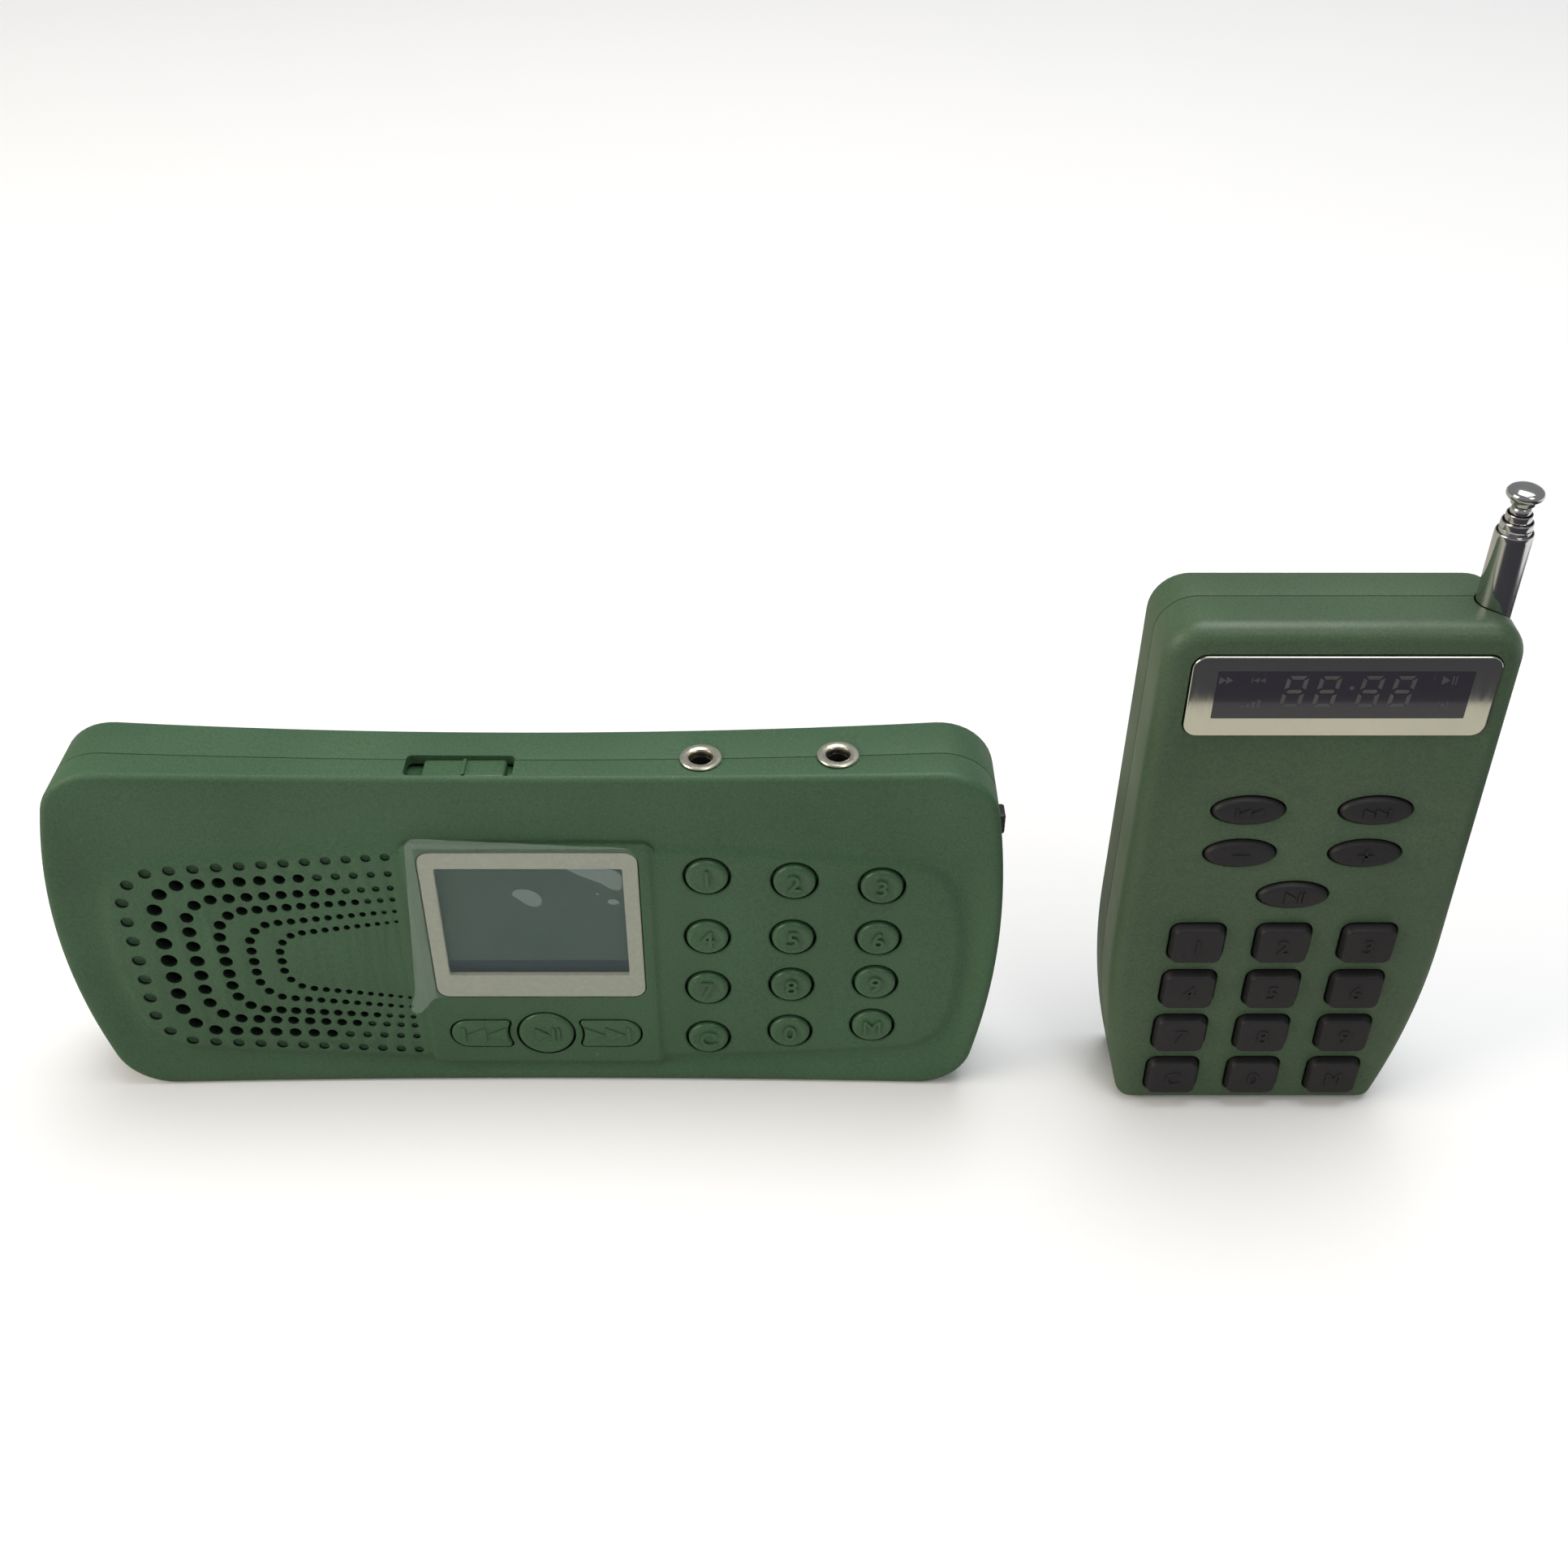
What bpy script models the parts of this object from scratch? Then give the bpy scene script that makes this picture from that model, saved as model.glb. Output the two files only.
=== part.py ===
"""Electronic game caller: a loudspeaker unit and its hand-held remote with a telescopic aerial.

Both stand upright on their lower edges. Everything is in metres: X runs to the right along the
caller's front, Y runs from the front to the back, and Z is up. The origin is the middle of the
face that the caller stands on.
"""

import math

import bmesh
import bpy
from mathutils import Matrix, Vector

# Clearances, walls and travels
GAP = 0.0003
WALL = 0.0017
KEY_TRAVEL = 0.0008

# Caller casing
CALLER_CORNER_X = 0.0732
CALLER_HEIGHT = 0.0698
CALLER_FOOT_X = (-0.0739, 0.0725)
CALLER_TOP_X = (-0.0732, 0.0740)
CALLER_SIDE_BOWS = (0.0057, 0.0041)
CALLER_TOP_SAG = 0.00175
CALLER_CORNER_RADIUS = 0.0095
CALLER_FRONT_Y = -0.0080
CALLER_PARTING_Y = -0.0016
CALLER_REAR_Y = 0.0080
CALLER_HALF_WIDTH = 0.0793
FRONT_FILLET = 0.0010
REAR_FILLET = 0.0015
DISH = 0.0014
STRIPS_X = (-0.065, -0.039, -0.013, 0.013, 0.039, 0.065)

# Relief of the caller's front, measured before it is dished
VALLEY_Y = -0.0068
PLATEAU_Y = -0.0074
CENTRE_Y = -0.0079
FRONT_INSIDE_Y = -0.0056
REAR_INSIDE_Y = 0.0064

# Caller controls
KEY_COLUMNS_X = (0.02895, 0.0432, 0.05745)
KEY_ROWS_Z = (0.0469, 0.0345, 0.0235, 0.0123)
KEY_FAN = -0.0735
KEY_FAN_Z = 0.0356
KEY_LEAN = 0.0195
KEY_RADIUS = 0.00345
KEY_HOLE_RADIUS = 0.00385
KEY_PROUD = 0.0005
KEY_FLANGE = 0.0008
KEY_FLANGE_THICKNESS = 0.0006
KEY_NAMES = ("1", "2", "3", "4", "5", "6", "7", "8", "9", "clear", "0", "mode")
TRANSPORT_Z = 0.0118
TRANSPORT_X = (0.0058, 0.0165)
TRANSPORT_HEIGHT = 0.0062
PLAY_RADIUS = 0.0048
TRANSPORT_PROUD = 0.0003
LENS_SIZE = (0.0357, 0.0322)
LENS_Z = 0.0368
LENS_DEPTH = 0.0013
LCD_SIZE = (0.0306, 0.0238)
LCD_Z = 0.0377
JACKS_X = (0.0284, 0.0500)
JACK_Y = -0.0017
JACK_RING_RADIUS = 0.00335
JACK_BARREL_RADIUS = 0.0029
JACK_BORE_RADIUS = 0.0018
SLOT_X = (-0.0180, -0.0009)
SLOT_Y = (-0.0057, -0.0005)
SLIDER_X = (-0.0153, -0.0022)
SWITCH_Z = (0.0542, 0.0580)
SWITCH_SLOT_Z = (0.0513, 0.0584)
SWITCH_Y = (-0.0033, 0.0001)
SWITCH_TIP_X = 0.0771

# Speaker grille: nested rows of holes, open towards the screen and alike above and below GRILLE_Z
GRILLE_Z = 0.0290
GRILLE_RIGHT_X = -0.0228
GRILLE_APEX_X = (-0.0621, -0.0574, -0.0526, -0.0479, -0.0432)
GRILLE_HALF_HEIGHT = (0.01875, 0.0159, 0.0136, 0.0111, 0.0088)
GRILLE_LIFT = (0.0005, 0.0003, 0.0001, 0.0, 0.0)
GRILLE_SLOPE = (0.058, 0.073, 0.088, 0.120, 0.147)
GRILLE_CORNER = (0.0055, 0.0050, 0.0050, 0.0045, 0.0040)
GRILLE_STEPS = (16, 16, 16, 15, 13)
GRILLE_BLIND = (5, 4, 3, 2, 2)
GRILLE_BIG_RADIUS = (0.00125, 0.0011, 0.0010, 0.0008, 0.0007)
GRILLE_SMALL_RADIUS = (0.00065, 0.0006, 0.0005, 0.0004, 0.00035)
GRILLE_SPREAD = 0.18
GRILLE_SIDES = (6, 6, 6, 4, 4)
SPEAKER_X = -0.0460
SPEAKER_RADIUS = 0.0225

# Batteries, bays and doors
BATTERY_SIZE = (0.0530, 0.0340)
BATTERY_THICKNESS = 0.0045
CALLER_BATTERY = (0.0390, 0.0330)
REMOTE_BATTERY_Z = 0.0385
BAY_WALL = 0.0010
DOOR_MARGIN = 0.0024
DOOR_THICKNESS = 0.0011
SCREWS_X = (-0.0620, 0.0660)
SCREW_Z = 0.0595
REMOTE_SCREW = (-0.0150, 0.0772)

# Remote casing, in its own frame: x from its middle, y from its parting plane
REMOTE_X = 0.1230
REMOTE_PARTING_Y = -0.0025
REMOTE_MIDDLE_X = -0.0004
REMOTE_TOP_HALF_WIDTH = 0.02625
REMOTE_HALF_WIDTH = 0.0269
REMOTE_FOOT_HALF_WIDTH = 0.0220
REMOTE_KNEE_Z = 0.0360
REMOTE_HEIGHT = 0.0990
REMOTE_TOP_RADIUS = 0.0060
REMOTE_FOOT_RADIUS = 0.0025
REMOTE_FRONT_Y = -0.0092
REMOTE_REAR_Y = 0.0078
REMOTE_FRONT_FILLET = 0.0028
REMOTE_REAR_FILLET = 0.0020
REMOTE_FRONT_INSIDE_Y = -0.0076
REMOTE_REAR_INSIDE_Y = 0.0062
REMOTE_WALL = 0.0016

# Remote controls
REMOTE_LENS = (0.0449, 0.0141)
REMOTE_LENS_Z = 0.0875
REMOTE_LENS_CORNER = 0.0022
REMOTE_LCD_Z = 0.0879
REMOTE_LENS_PROUD = 0.0004
REMOTE_LCD = (0.0373, 0.0084)
REMOTE_COLUMNS_X = (-0.0142, -0.0003, 0.0136)
REMOTE_ROWS_Z = (0.0385, 0.0281, 0.0177, 0.0074)
REMOTE_KEY = (0.0086, 0.0076)
REMOTE_KEY_CORNER = 0.0015
REMOTE_KEY_PROUD = 0.0017
OVAL_KEY = (0.0111, 0.0051)
OVAL_KEY_PROUD = 0.0008
OVAL_KEYS = {
    "previous": (-0.0101, 0.0660),
    "next": (0.0095, 0.0660),
    "volume_down": (-0.0101, 0.0574),
    "volume_up": (0.0095, 0.0574),
    "play": (-0.0003, 0.0487),
}

# Aerial: each tube slides inside the one before it
AERIAL_X = 0.0221
AERIAL_Y = -0.0015
AERIAL_RADII = (0.00275, 0.00232, 0.00190, 0.00150)
AERIAL_WALL = 0.0002
AERIAL_TOPS_Z = (0.1107, 0.1124, 0.1136, 0.1147)
AERIAL_FOOT_Z = 0.0345
AERIAL_FOOT_STEP = 0.0010
TIP_RADIUS = 0.00080
TIP_COLLAR_RADIUS = 0.0018
KNOB_RADIUS = 0.00265
KNOB_TOP_Z = 0.1178


# ---------------------------------------------------------------- scene, materials and objects


def clear_scene():
    for obj in list(bpy.data.objects):
        bpy.data.objects.remove(obj, do_unlink=True)


def new_collection(name):
    made = bpy.data.collections.new(name)
    bpy.context.scene.collection.children.link(made)
    return made


def new_material(name, colour, roughness, metallic=0.0):
    made = bpy.data.materials.new(name)
    made.use_nodes = True
    shader = made.node_tree.nodes["Principled BSDF"]
    shader.inputs["Base Color"].default_value = (*colour, 1.0)
    shader.inputs["Roughness"].default_value = roughness
    shader.inputs["Metallic"].default_value = metallic
    return made


def as_object(name, shape, surface=None):
    """The bmesh as an object. One with no surface is a cutter, kept out of the model."""
    bmesh.ops.recalc_face_normals(shape, faces=shape.faces)
    mesh = bpy.data.meshes.new(name)
    shape.to_mesh(mesh)
    shape.free()
    obj = bpy.data.objects.new(name, mesh)
    if surface is None:
        cutters.objects.link(obj)
        obj.hide_render = True
        obj.display_type = "WIRE"
    else:
        mesh.materials.append(surface)
        parts.objects.link(obj)
        shade(mesh)
    return obj


def shade(mesh):
    """Smooth shading, with the sharp edges kept."""
    mesh.shade_smooth()
    mesh.set_sharp_from_angle(angle=math.radians(35))


def combine(target, helper, operation):
    modifier = target.modifiers.new(helper.name, "BOOLEAN")
    modifier.operation = operation
    modifier.object = helper
    modifier.solver = "EXACT"


def cut(target, *helpers):
    for helper in helpers:
        combine(target, helper, "DIFFERENCE")


def join(target, *helpers):
    for helper in helpers:
        combine(target, helper, "UNION")


def apply_modifiers(obj):
    graph = bpy.context.evaluated_depsgraph_get()
    mesh = bpy.data.meshes.new_from_object(obj.evaluated_get(graph))
    obj.modifiers.clear()
    obj.data = mesh


# ---------------------------------------------------------------- outlines, in the XZ plane


class Side:
    """A shallow curve from start to end that stands bow outside its chord, going anticlockwise."""

    def __init__(self, start, end, bow=0.0):
        self.start = Vector(start)
        self.way = Vector(end) - self.start
        self.bow = Vector((self.way.y, -self.way.x)).normalized() * bow

    def point(self, t, inset):
        along = self.way + self.bow * (4 * (1 - 2 * t))
        inward = Vector((-along.y, along.x)).normalized()
        return self.start + self.way * t + self.bow * (4 * t * (1 - t)) + inward * inset


def corner_places(before, after, inset):
    """Where two sides, each moved inwards by inset, meet: the place along each, by Newton's rule."""
    t, u, step = 0.95, 0.05, 1e-4
    for _ in range(12):
        miss = before.point(t, inset) - after.point(u, inset)
        by_t = (before.point(t + step, inset) - before.point(t, inset)) / step
        by_u = (after.point(u, inset) - after.point(u + step, inset)) / step
        scale = by_t.x * by_u.y - by_t.y * by_u.x
        t -= (miss.x * by_u.y - miss.y * by_u.x) / scale
        u -= (by_t.x * miss.y - by_t.y * miss.x) / scale
    return t, u


def outline(sides, radii, inset=0.0, side_steps=6, corner_steps=4):
    """The closed outline through the sides, moved inwards, with each side's first corner rounded."""
    places = []
    for i, side in enumerate(sides):
        radius = max(radii[i] - inset, 0.0002) if radii[i] else 0.0
        places.append((radius, *corner_places(sides[i - 1], side, inset + radius)))
    points = []
    for i, side in enumerate(sides):
        radius, last, first = places[i]
        until = places[(i + 1) % len(sides)][1]
        if radius:
            centre = sides[i - 1].point(last, inset + radius)
            spokes = sides[i - 1].point(last, inset) - centre, side.point(first, inset) - centre
            turn = spokes[0].angle_signed(spokes[1])
            for k in range(corner_steps):
                spoke = spokes[0].copy()
                spoke.rotate(Matrix.Rotation(-turn * k / corner_steps, 2))
                points.append(centre + spoke)
        for k in range(side_steps):
            points.append(side.point(first + (until - first) * k / side_steps, inset))
    return points


def caller_sides():
    foot_left, foot_right = (CALLER_FOOT_X[0], 0), (CALLER_FOOT_X[1], 0)
    top_left, top_right = (CALLER_TOP_X[0], CALLER_HEIGHT), (CALLER_TOP_X[1], CALLER_HEIGHT)
    return (
        Side(foot_left, foot_right),
        Side(foot_right, top_right, CALLER_SIDE_BOWS[1]),
        Side(top_right, top_left, -CALLER_TOP_SAG),
        Side(top_left, foot_left, CALLER_SIDE_BOWS[0]),
    )


def caller_outline(inset=0.0):
    return outline(caller_sides(), [CALLER_CORNER_RADIUS] * 4, inset)


def plateau_outline(inset=0.0):
    """The raised barrel-shaped field that holds the grille, the screen and the keys."""
    left, right, low, high = -0.0690, 0.0690, 0.0080, 0.0513
    sides = (
        Side((left, low), (right, low), 0.0040),
        Side((right, low), (right, high), 0.0035),
        Side((right, high), (left, high), 0.0037),
        Side((left, high), (left, low), 0.0035),
    )
    return outline(sides, [0.011] * 4, inset)


def remote_outline(inset=0.0):
    middle, knee, top = REMOTE_MIDDLE_X, REMOTE_KNEE_Z, REMOTE_HEIGHT
    halves = ((REMOTE_FOOT_HALF_WIDTH, 0), (REMOTE_HALF_WIDTH, knee), (REMOTE_TOP_HALF_WIDTH, top))
    right_foot, right_knee, right_top = [(middle + half, z) for half, z in halves]
    left_foot, left_knee, left_top = [(middle - half, z) for half, z in halves]
    bow = (REMOTE_HALF_WIDTH - REMOTE_FOOT_HALF_WIDTH) / 4
    sides = (
        Side(left_foot, right_foot),
        Side(right_foot, right_knee, bow),
        Side(right_knee, right_top),
        Side(right_top, left_top),
        Side(left_top, left_knee),
        Side(left_knee, left_foot, bow),
    )
    foot_radius, top_radius = REMOTE_FOOT_RADIUS, REMOTE_TOP_RADIUS
    radii = (foot_radius, foot_radius, 0, top_radius, top_radius, 0)
    return outline(sides, radii, inset, side_steps=4, corner_steps=4)


def box_outline(centre, size, radius, inset=0.0, corner_steps=2):
    x, z = size[0] / 2, size[1] / 2
    corners = [Vector(centre) + Vector(p) for p in ((-x, -z), (x, -z), (x, z), (-x, z))]
    sides = [Side(corners[i], corners[(i + 1) % 4]) for i in range(4)]
    return outline(sides, [radius] * 4, inset, side_steps=1, corner_steps=corner_steps)


def ellipse_outline(centre, size, inset=0.0, steps=16):
    turns = [2 * math.pi * k / steps for k in range(steps)]
    half = Vector((size[0] / 2 - inset, size[1] / 2 - inset))
    return [Vector(centre) + Vector((half.x * math.cos(a), half.y * math.sin(a))) for a in turns]


def transport_outline(side, inset=0.0):
    """A key whose inner end is hollowed round the play key; side is 1 on the right, -1 on the left."""
    (near, far), half = TRANSPORT_X, TRANSPORT_HEIGHT / 2
    sides = (
        Side((near, -half), (far, -half)),
        Side((far, -half), (far, half)),
        Side((far, half), (near, half)),
        Side((near, half), (near, -half), -0.0009),
    )
    points = outline(sides, (0.0006, 0.0030, 0.0030, 0.0006), inset, 3, 4)
    if side < 0:
        points = [Vector((-p.x, p.y)) for p in reversed(points)]
    return [p + Vector((0, TRANSPORT_Z)) for p in points]


# ---------------------------------------------------------------- solids


def at_depth(points, y):
    return [Vector((p.x, y, p.y)) for p in points]


def loft(name, loops, surface=None):
    """A solid whose skin runs from loop to loop, each with as many points, and is flat at its ends."""
    shape = bmesh.new()
    rings = [[shape.verts.new(point) for point in loop] for loop in loops]
    for one, two in zip(rings, rings[1:]):
        for i in range(len(one)):
            shape.faces.new((one[i - 1], one[i], two[i], two[i - 1]))
    shape.faces.new(rings[0])
    shape.faces.new(rings[-1])
    return as_object(name, shape, surface)


def prism(name, points, near, far, surface=None):
    """A flat outline at depth near, extruded to depth far."""
    shape = bmesh.new()
    face = shape.faces.new([shape.verts.new(point) for point in at_depth(points, near)])
    made = bmesh.ops.extrude_face_region(shape, geom=[face], use_keep_orig=True)
    moved = [item for item in made["geom"] if isinstance(item, bmesh.types.BMVert)]
    bmesh.ops.translate(shape, verts=moved, vec=(0, far - near, 0))
    return as_object(name, shape, surface)


def block(name, x, y, z, surface=None):
    """A box between two limits on each axis."""
    shape = bmesh.new()
    middle = Vector([(low + high) / 2 for low, high in (x, y, z)])
    size = Vector([high - low for low, high in (x, y, z)])
    place = Matrix.Translation(middle) @ Matrix.Diagonal((*size, 1))
    bmesh.ops.create_cube(shape, size=1, matrix=place)
    return as_object(name, shape, surface)


def cylinder(name, start, end, radius, surface=None, steps=16):
    shape = bmesh.new()
    start, end = Vector(start), Vector(end)
    turn = (end - start).to_track_quat("Z", "Y").to_matrix().to_4x4()
    bmesh.ops.create_cone(
        shape,
        cap_ends=True,
        segments=steps,
        radius1=radius,
        radius2=radius,
        depth=(end - start).length,
        matrix=Matrix.Translation((start + end) / 2) @ turn,
    )
    return as_object(name, shape, surface)


def turned(name, profile, place, along, surface, steps=16):
    """The profile's (radius, height) points turned about an axis, from its top down its outer side."""
    shape = bmesh.new()
    points = [shape.verts.new((radius, 0, height)) for radius, height in profile]
    for one, two in zip(points, points[1:]):
        shape.edges.new((one, two))
    bmesh.ops.remove_doubles(shape, verts=shape.verts, dist=1e-7)
    mesh = bpy.data.meshes.new(name)
    shape.to_mesh(mesh)
    shape.free()
    mesh.materials.append(surface)
    obj = bpy.data.objects.new(name, mesh)
    parts.objects.link(obj)
    obj.location = place
    obj.rotation_euler = Vector(along).to_track_quat("Z", "Y").to_euler()
    screw = obj.modifiers.new("Turn", "SCREW")
    screw.steps = screw.render_steps = steps
    screw.use_merge_vertices = True
    screw.merge_threshold = 1e-6
    apply_modifiers(obj)
    shape = bmesh.new()
    shape.from_mesh(obj.data)
    bmesh.ops.recalc_face_normals(shape, faces=shape.faces)
    shape.to_mesh(obj.data)
    shape.free()
    shade(obj.data)
    return obj


def many_prisms(name, rows):
    """One cutter of separate upright prisms; each row is (x, z, radius, sides), and all run along Y."""
    shape = bmesh.new()
    for x, z, radius, steps in rows:
        place = Matrix.Translation((x, CALLER_FRONT_Y + 0.003, z)) @ Matrix.Rotation(math.pi / 2, 4, "X")
        bmesh.ops.create_cone(
            shape,
            cap_ends=True,
            segments=steps,
            radius1=radius,
            radius2=radius,
            depth=0.008,
            matrix=place,
        )
    return as_object(name, shape)


# ---------------------------------------------------------------- the dish of the caller's faces


def dish_at(x):
    """How far the caller's faces come in at x. It is even across each strip between STRIPS_X."""
    stops = (-CALLER_HALF_WIDTH, *STRIPS_X, CALLER_HALF_WIDTH)
    depth = [DISH * (1 - (stop / CALLER_HALF_WIDTH) ** 2) for stop in stops]
    for i in range(len(stops) - 1):
        if x <= stops[i + 1]:
            share = (x - stops[i]) / (stops[i + 1] - stops[i])
            return max(0.0, depth[i] + (depth[i + 1] - depth[i]) * share)
    return 0.0


def dished(x, y):
    """Where a point at depth y of the undished caller comes to lie."""
    if y < CALLER_PARTING_Y:
        return y + dish_at(x) * (CALLER_PARTING_Y - y) / (CALLER_PARTING_Y - CALLER_FRONT_Y)
    return y - dish_at(x) * (y - CALLER_PARTING_Y) / (CALLER_REAR_Y - CALLER_PARTING_Y)


def dish(obj):
    """Split the mesh into strips across X, then move each point in to its dished depth."""
    apply_modifiers(obj)
    shape = bmesh.new()
    shape.from_mesh(obj.data)
    for x in STRIPS_X:
        everything = list(shape.verts) + list(shape.edges) + list(shape.faces)
        bmesh.ops.bisect_plane(shape, geom=everything, dist=1e-7, plane_co=(x, 0, 0), plane_no=(1, 0, 0))
    bmesh.ops.triangulate(shape, faces=shape.faces)
    for point in shape.verts:
        point.co.y = dished(point.co.x, point.co.y)
    shape.to_mesh(obj.data)
    shape.free()
    shade(obj.data)


# ---------------------------------------------------------------- caller


def grille_rows():
    """Every open hole of the grille, as (x, z, radius, sides)."""
    rows = []
    for k, apex in enumerate(GRILLE_APEX_X):
        high, slope, corner = GRILLE_HALF_HEIGHT[k], GRILLE_SLOPE[k], GRILLE_CORNER[k]
        corner_height = high - slope * (GRILLE_RIGHT_X - apex)
        straight = GRILLE_RIGHT_X - apex - corner
        bend = corner * math.pi / 2
        whole = straight + bend + corner_height - corner
        steps = GRILLE_STEPS[k]
        for i in range(GRILLE_BLIND[k], steps + 1):
            share = i / steps
            along = whole * (share + GRILLE_SPREAD * (share**2 - share))
            if along < straight:
                x, z = GRILLE_RIGHT_X - along, high - slope * along
            elif along < straight + bend:
                angle = (along - straight) / corner
                x = apex + corner * (1 - math.sin(angle))
                z = corner_height - corner * (1 - math.cos(angle)) + slope * (x - apex)
            else:
                x, z = apex, corner_height - corner - (along - straight - bend)
            radius = GRILLE_SMALL_RADIUS[k] + (GRILLE_BIG_RADIUS[k] - GRILLE_SMALL_RADIUS[k]) * share
            middle = GRILLE_Z + GRILLE_LIFT[k]
            rows.append((x, middle + z, radius, GRILLE_SIDES[k]))
            if i < steps:
                rows.append((x, middle - z, radius, GRILLE_SIDES[k]))
    return rows


def key_places():
    """(name, x, z) of each round key. The rows draw together to the right."""
    places = []
    middle = KEY_COLUMNS_X[1]
    pitch = KEY_COLUMNS_X[2] - middle
    for i, name in enumerate(KEY_NAMES):
        x, z = KEY_COLUMNS_X[i % 3], KEY_ROWS_Z[i // 3]
        along = x - KEY_LEAN * (KEY_ROWS_Z[0] - z)
        places.append((name, along, z + KEY_FAN * (z - KEY_FAN_Z) * (x - middle) / pitch))
    return places


def caller_top_z(x):
    share = x / CALLER_CORNER_X
    return CALLER_HEIGHT - CALLER_TOP_SAG * (1 - share * share)


def build_caller_front(green):
    loops = (
        at_depth(caller_outline(), CALLER_PARTING_Y - GAP / 2),
        at_depth(caller_outline(), CALLER_FRONT_Y + FRONT_FILLET),
        at_depth(caller_outline(0.3 * FRONT_FILLET), CALLER_FRONT_Y + 0.3 * FRONT_FILLET),
        at_depth(caller_outline(FRONT_FILLET), CALLER_FRONT_Y),
        at_depth(caller_outline(2 * FRONT_FILLET), CALLER_FRONT_Y + 0.0001),
        at_depth(plateau_outline(), VALLEY_Y),
        at_depth(plateau_outline(0.0016), PLATEAU_Y),
    )
    shell = loft("caller_front_shell", loops, green)
    centre = box_outline((0, 0.0293), (0.0406, 0.0500), 0.001)
    centre_top = box_outline((0, 0.0293), (0.0406, 0.0500), 0.001, 0.0008)
    levels = (at_depth(centre, -0.0062), at_depth(centre, PLATEAU_Y), at_depth(centre_top, CENTRE_Y))
    raised = loft("raised_centre", levels)
    join(shell, raised)
    cut(shell, prism("front_cavity", caller_outline(WALL), FRONT_INSIDE_Y, 0.001))
    for i, x in enumerate(SCREWS_X):
        join(shell, cylinder(f"front_boss_{i}", (x, -0.0060, SCREW_Z), (x, -0.0019, SCREW_Z), 0.0025))
        cut(shell, cylinder(f"front_boss_hole_{i}", (x, -0.0045, SCREW_Z), (x, 0.0, SCREW_Z), 0.0013))
    cut(shell, many_prisms("grille_holes", grille_rows()))
    keys = [(x, z, KEY_HOLE_RADIUS, 16) for _, x, z in key_places()]
    keys.append((0, TRANSPORT_Z, PLAY_RADIUS + 0.0004, 20))
    cut(shell, many_prisms("key_holes", keys))
    for side in (-1, 1):
        cut(shell, prism(f"transport_hole_{side}", transport_outline(side, -0.0003), -0.009, -0.003))
    lens = box_outline((0, LENS_Z), LENS_SIZE, 0.0015, -GAP / 2)
    cut(shell, prism("lens_seat", lens, -0.009, CENTRE_Y + LENS_DEPTH))
    cut(shell, prism("lcd_window", box_outline((0, LCD_Z), LCD_SIZE, 0.0005), -0.009, -0.003))
    dish(shell)
    cut_caller_edge(shell, "front")
    return shell


def cut_caller_edge(shell, end):
    """The slider's slot, the jacks' holes and the switch's slot, which straddle the parting plane."""
    cut(shell, block(f"slider_slot_{end}", SLOT_X, SLOT_Y, (0.060, 0.075)))
    for i, x in enumerate(JACKS_X):
        foot, mouth = (x, JACK_Y, 0.060), (x, JACK_Y, 0.075)
        cut(shell, cylinder(f"jack_hole_{end}_{i}", foot, mouth, JACK_BARREL_RADIUS + GAP))
    switch_y = (SWITCH_Y[0] - GAP, SWITCH_Y[1] + GAP)
    cut(shell, block(f"switch_slot_{end}", (0.070, 0.080), switch_y, SWITCH_SLOT_Z))


def build_caller_rear(green):
    loops = (
        at_depth(caller_outline(), CALLER_PARTING_Y + GAP / 2),
        at_depth(caller_outline(), CALLER_REAR_Y - REAR_FILLET),
        at_depth(caller_outline(0.3 * REAR_FILLET), CALLER_REAR_Y - 0.3 * REAR_FILLET),
        at_depth(caller_outline(REAR_FILLET), CALLER_REAR_Y),
    )
    shell = loft("caller_rear_shell", loops, green)
    cut(shell, prism("rear_cavity", caller_outline(WALL), -0.004, REAR_INSIDE_Y))
    add_battery_bay(shell, CALLER_BATTERY, BATTERY_SIZE, -0.0005, REAR_INSIDE_Y, CALLER_REAR_Y)
    for i, x in enumerate(SCREWS_X):
        join(shell, cylinder(f"rear_boss_{i}", (x, -0.0013, SCREW_Z), (x, 0.0068, SCREW_Z), 0.0032))
        cut(shell, cylinder(f"rear_boss_hole_{i}", (x, -0.003, SCREW_Z), (x, 0.009, SCREW_Z), 0.0014))
        cut(shell, cylinder(f"rear_screw_seat_{i}", (x, 0.0052, SCREW_Z), (x, 0.009, SCREW_Z), 0.0025))
    dish(shell)
    cut_caller_edge(shell, "rear")
    return shell


def add_battery_bay(shell, centre, size, floor_y, inside_y, rear_y):
    """A tray for the battery behind an opening in the rear, and the seat of its door round that."""
    name = shell.name
    around = (size[0] + 2 * (GAP + BAY_WALL), size[1] + 2 * (GAP + BAY_WALL))
    inner = (size[0] + 2 * GAP, size[1] + 2 * GAP)
    door = door_size(size)
    join(shell, prism(name + "_tray", box_outline(centre, around, 0.002), floor_y, inside_y + 0.0004))
    bay = box_outline(centre, inner, 0.0015)
    cut(shell, prism(name + "_bay", bay, floor_y + 0.0008, rear_y + 0.002))
    seat = box_outline(centre, door, 0.002, -GAP)
    cut(shell, prism(name + "_door_seat", seat, rear_y - DOOR_THICKNESS - GAP, rear_y + 0.002))


def door_size(size):
    return size[0] + 2 * (GAP + DOOR_MARGIN), size[1] + 2 * (GAP + DOOR_MARGIN)


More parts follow.
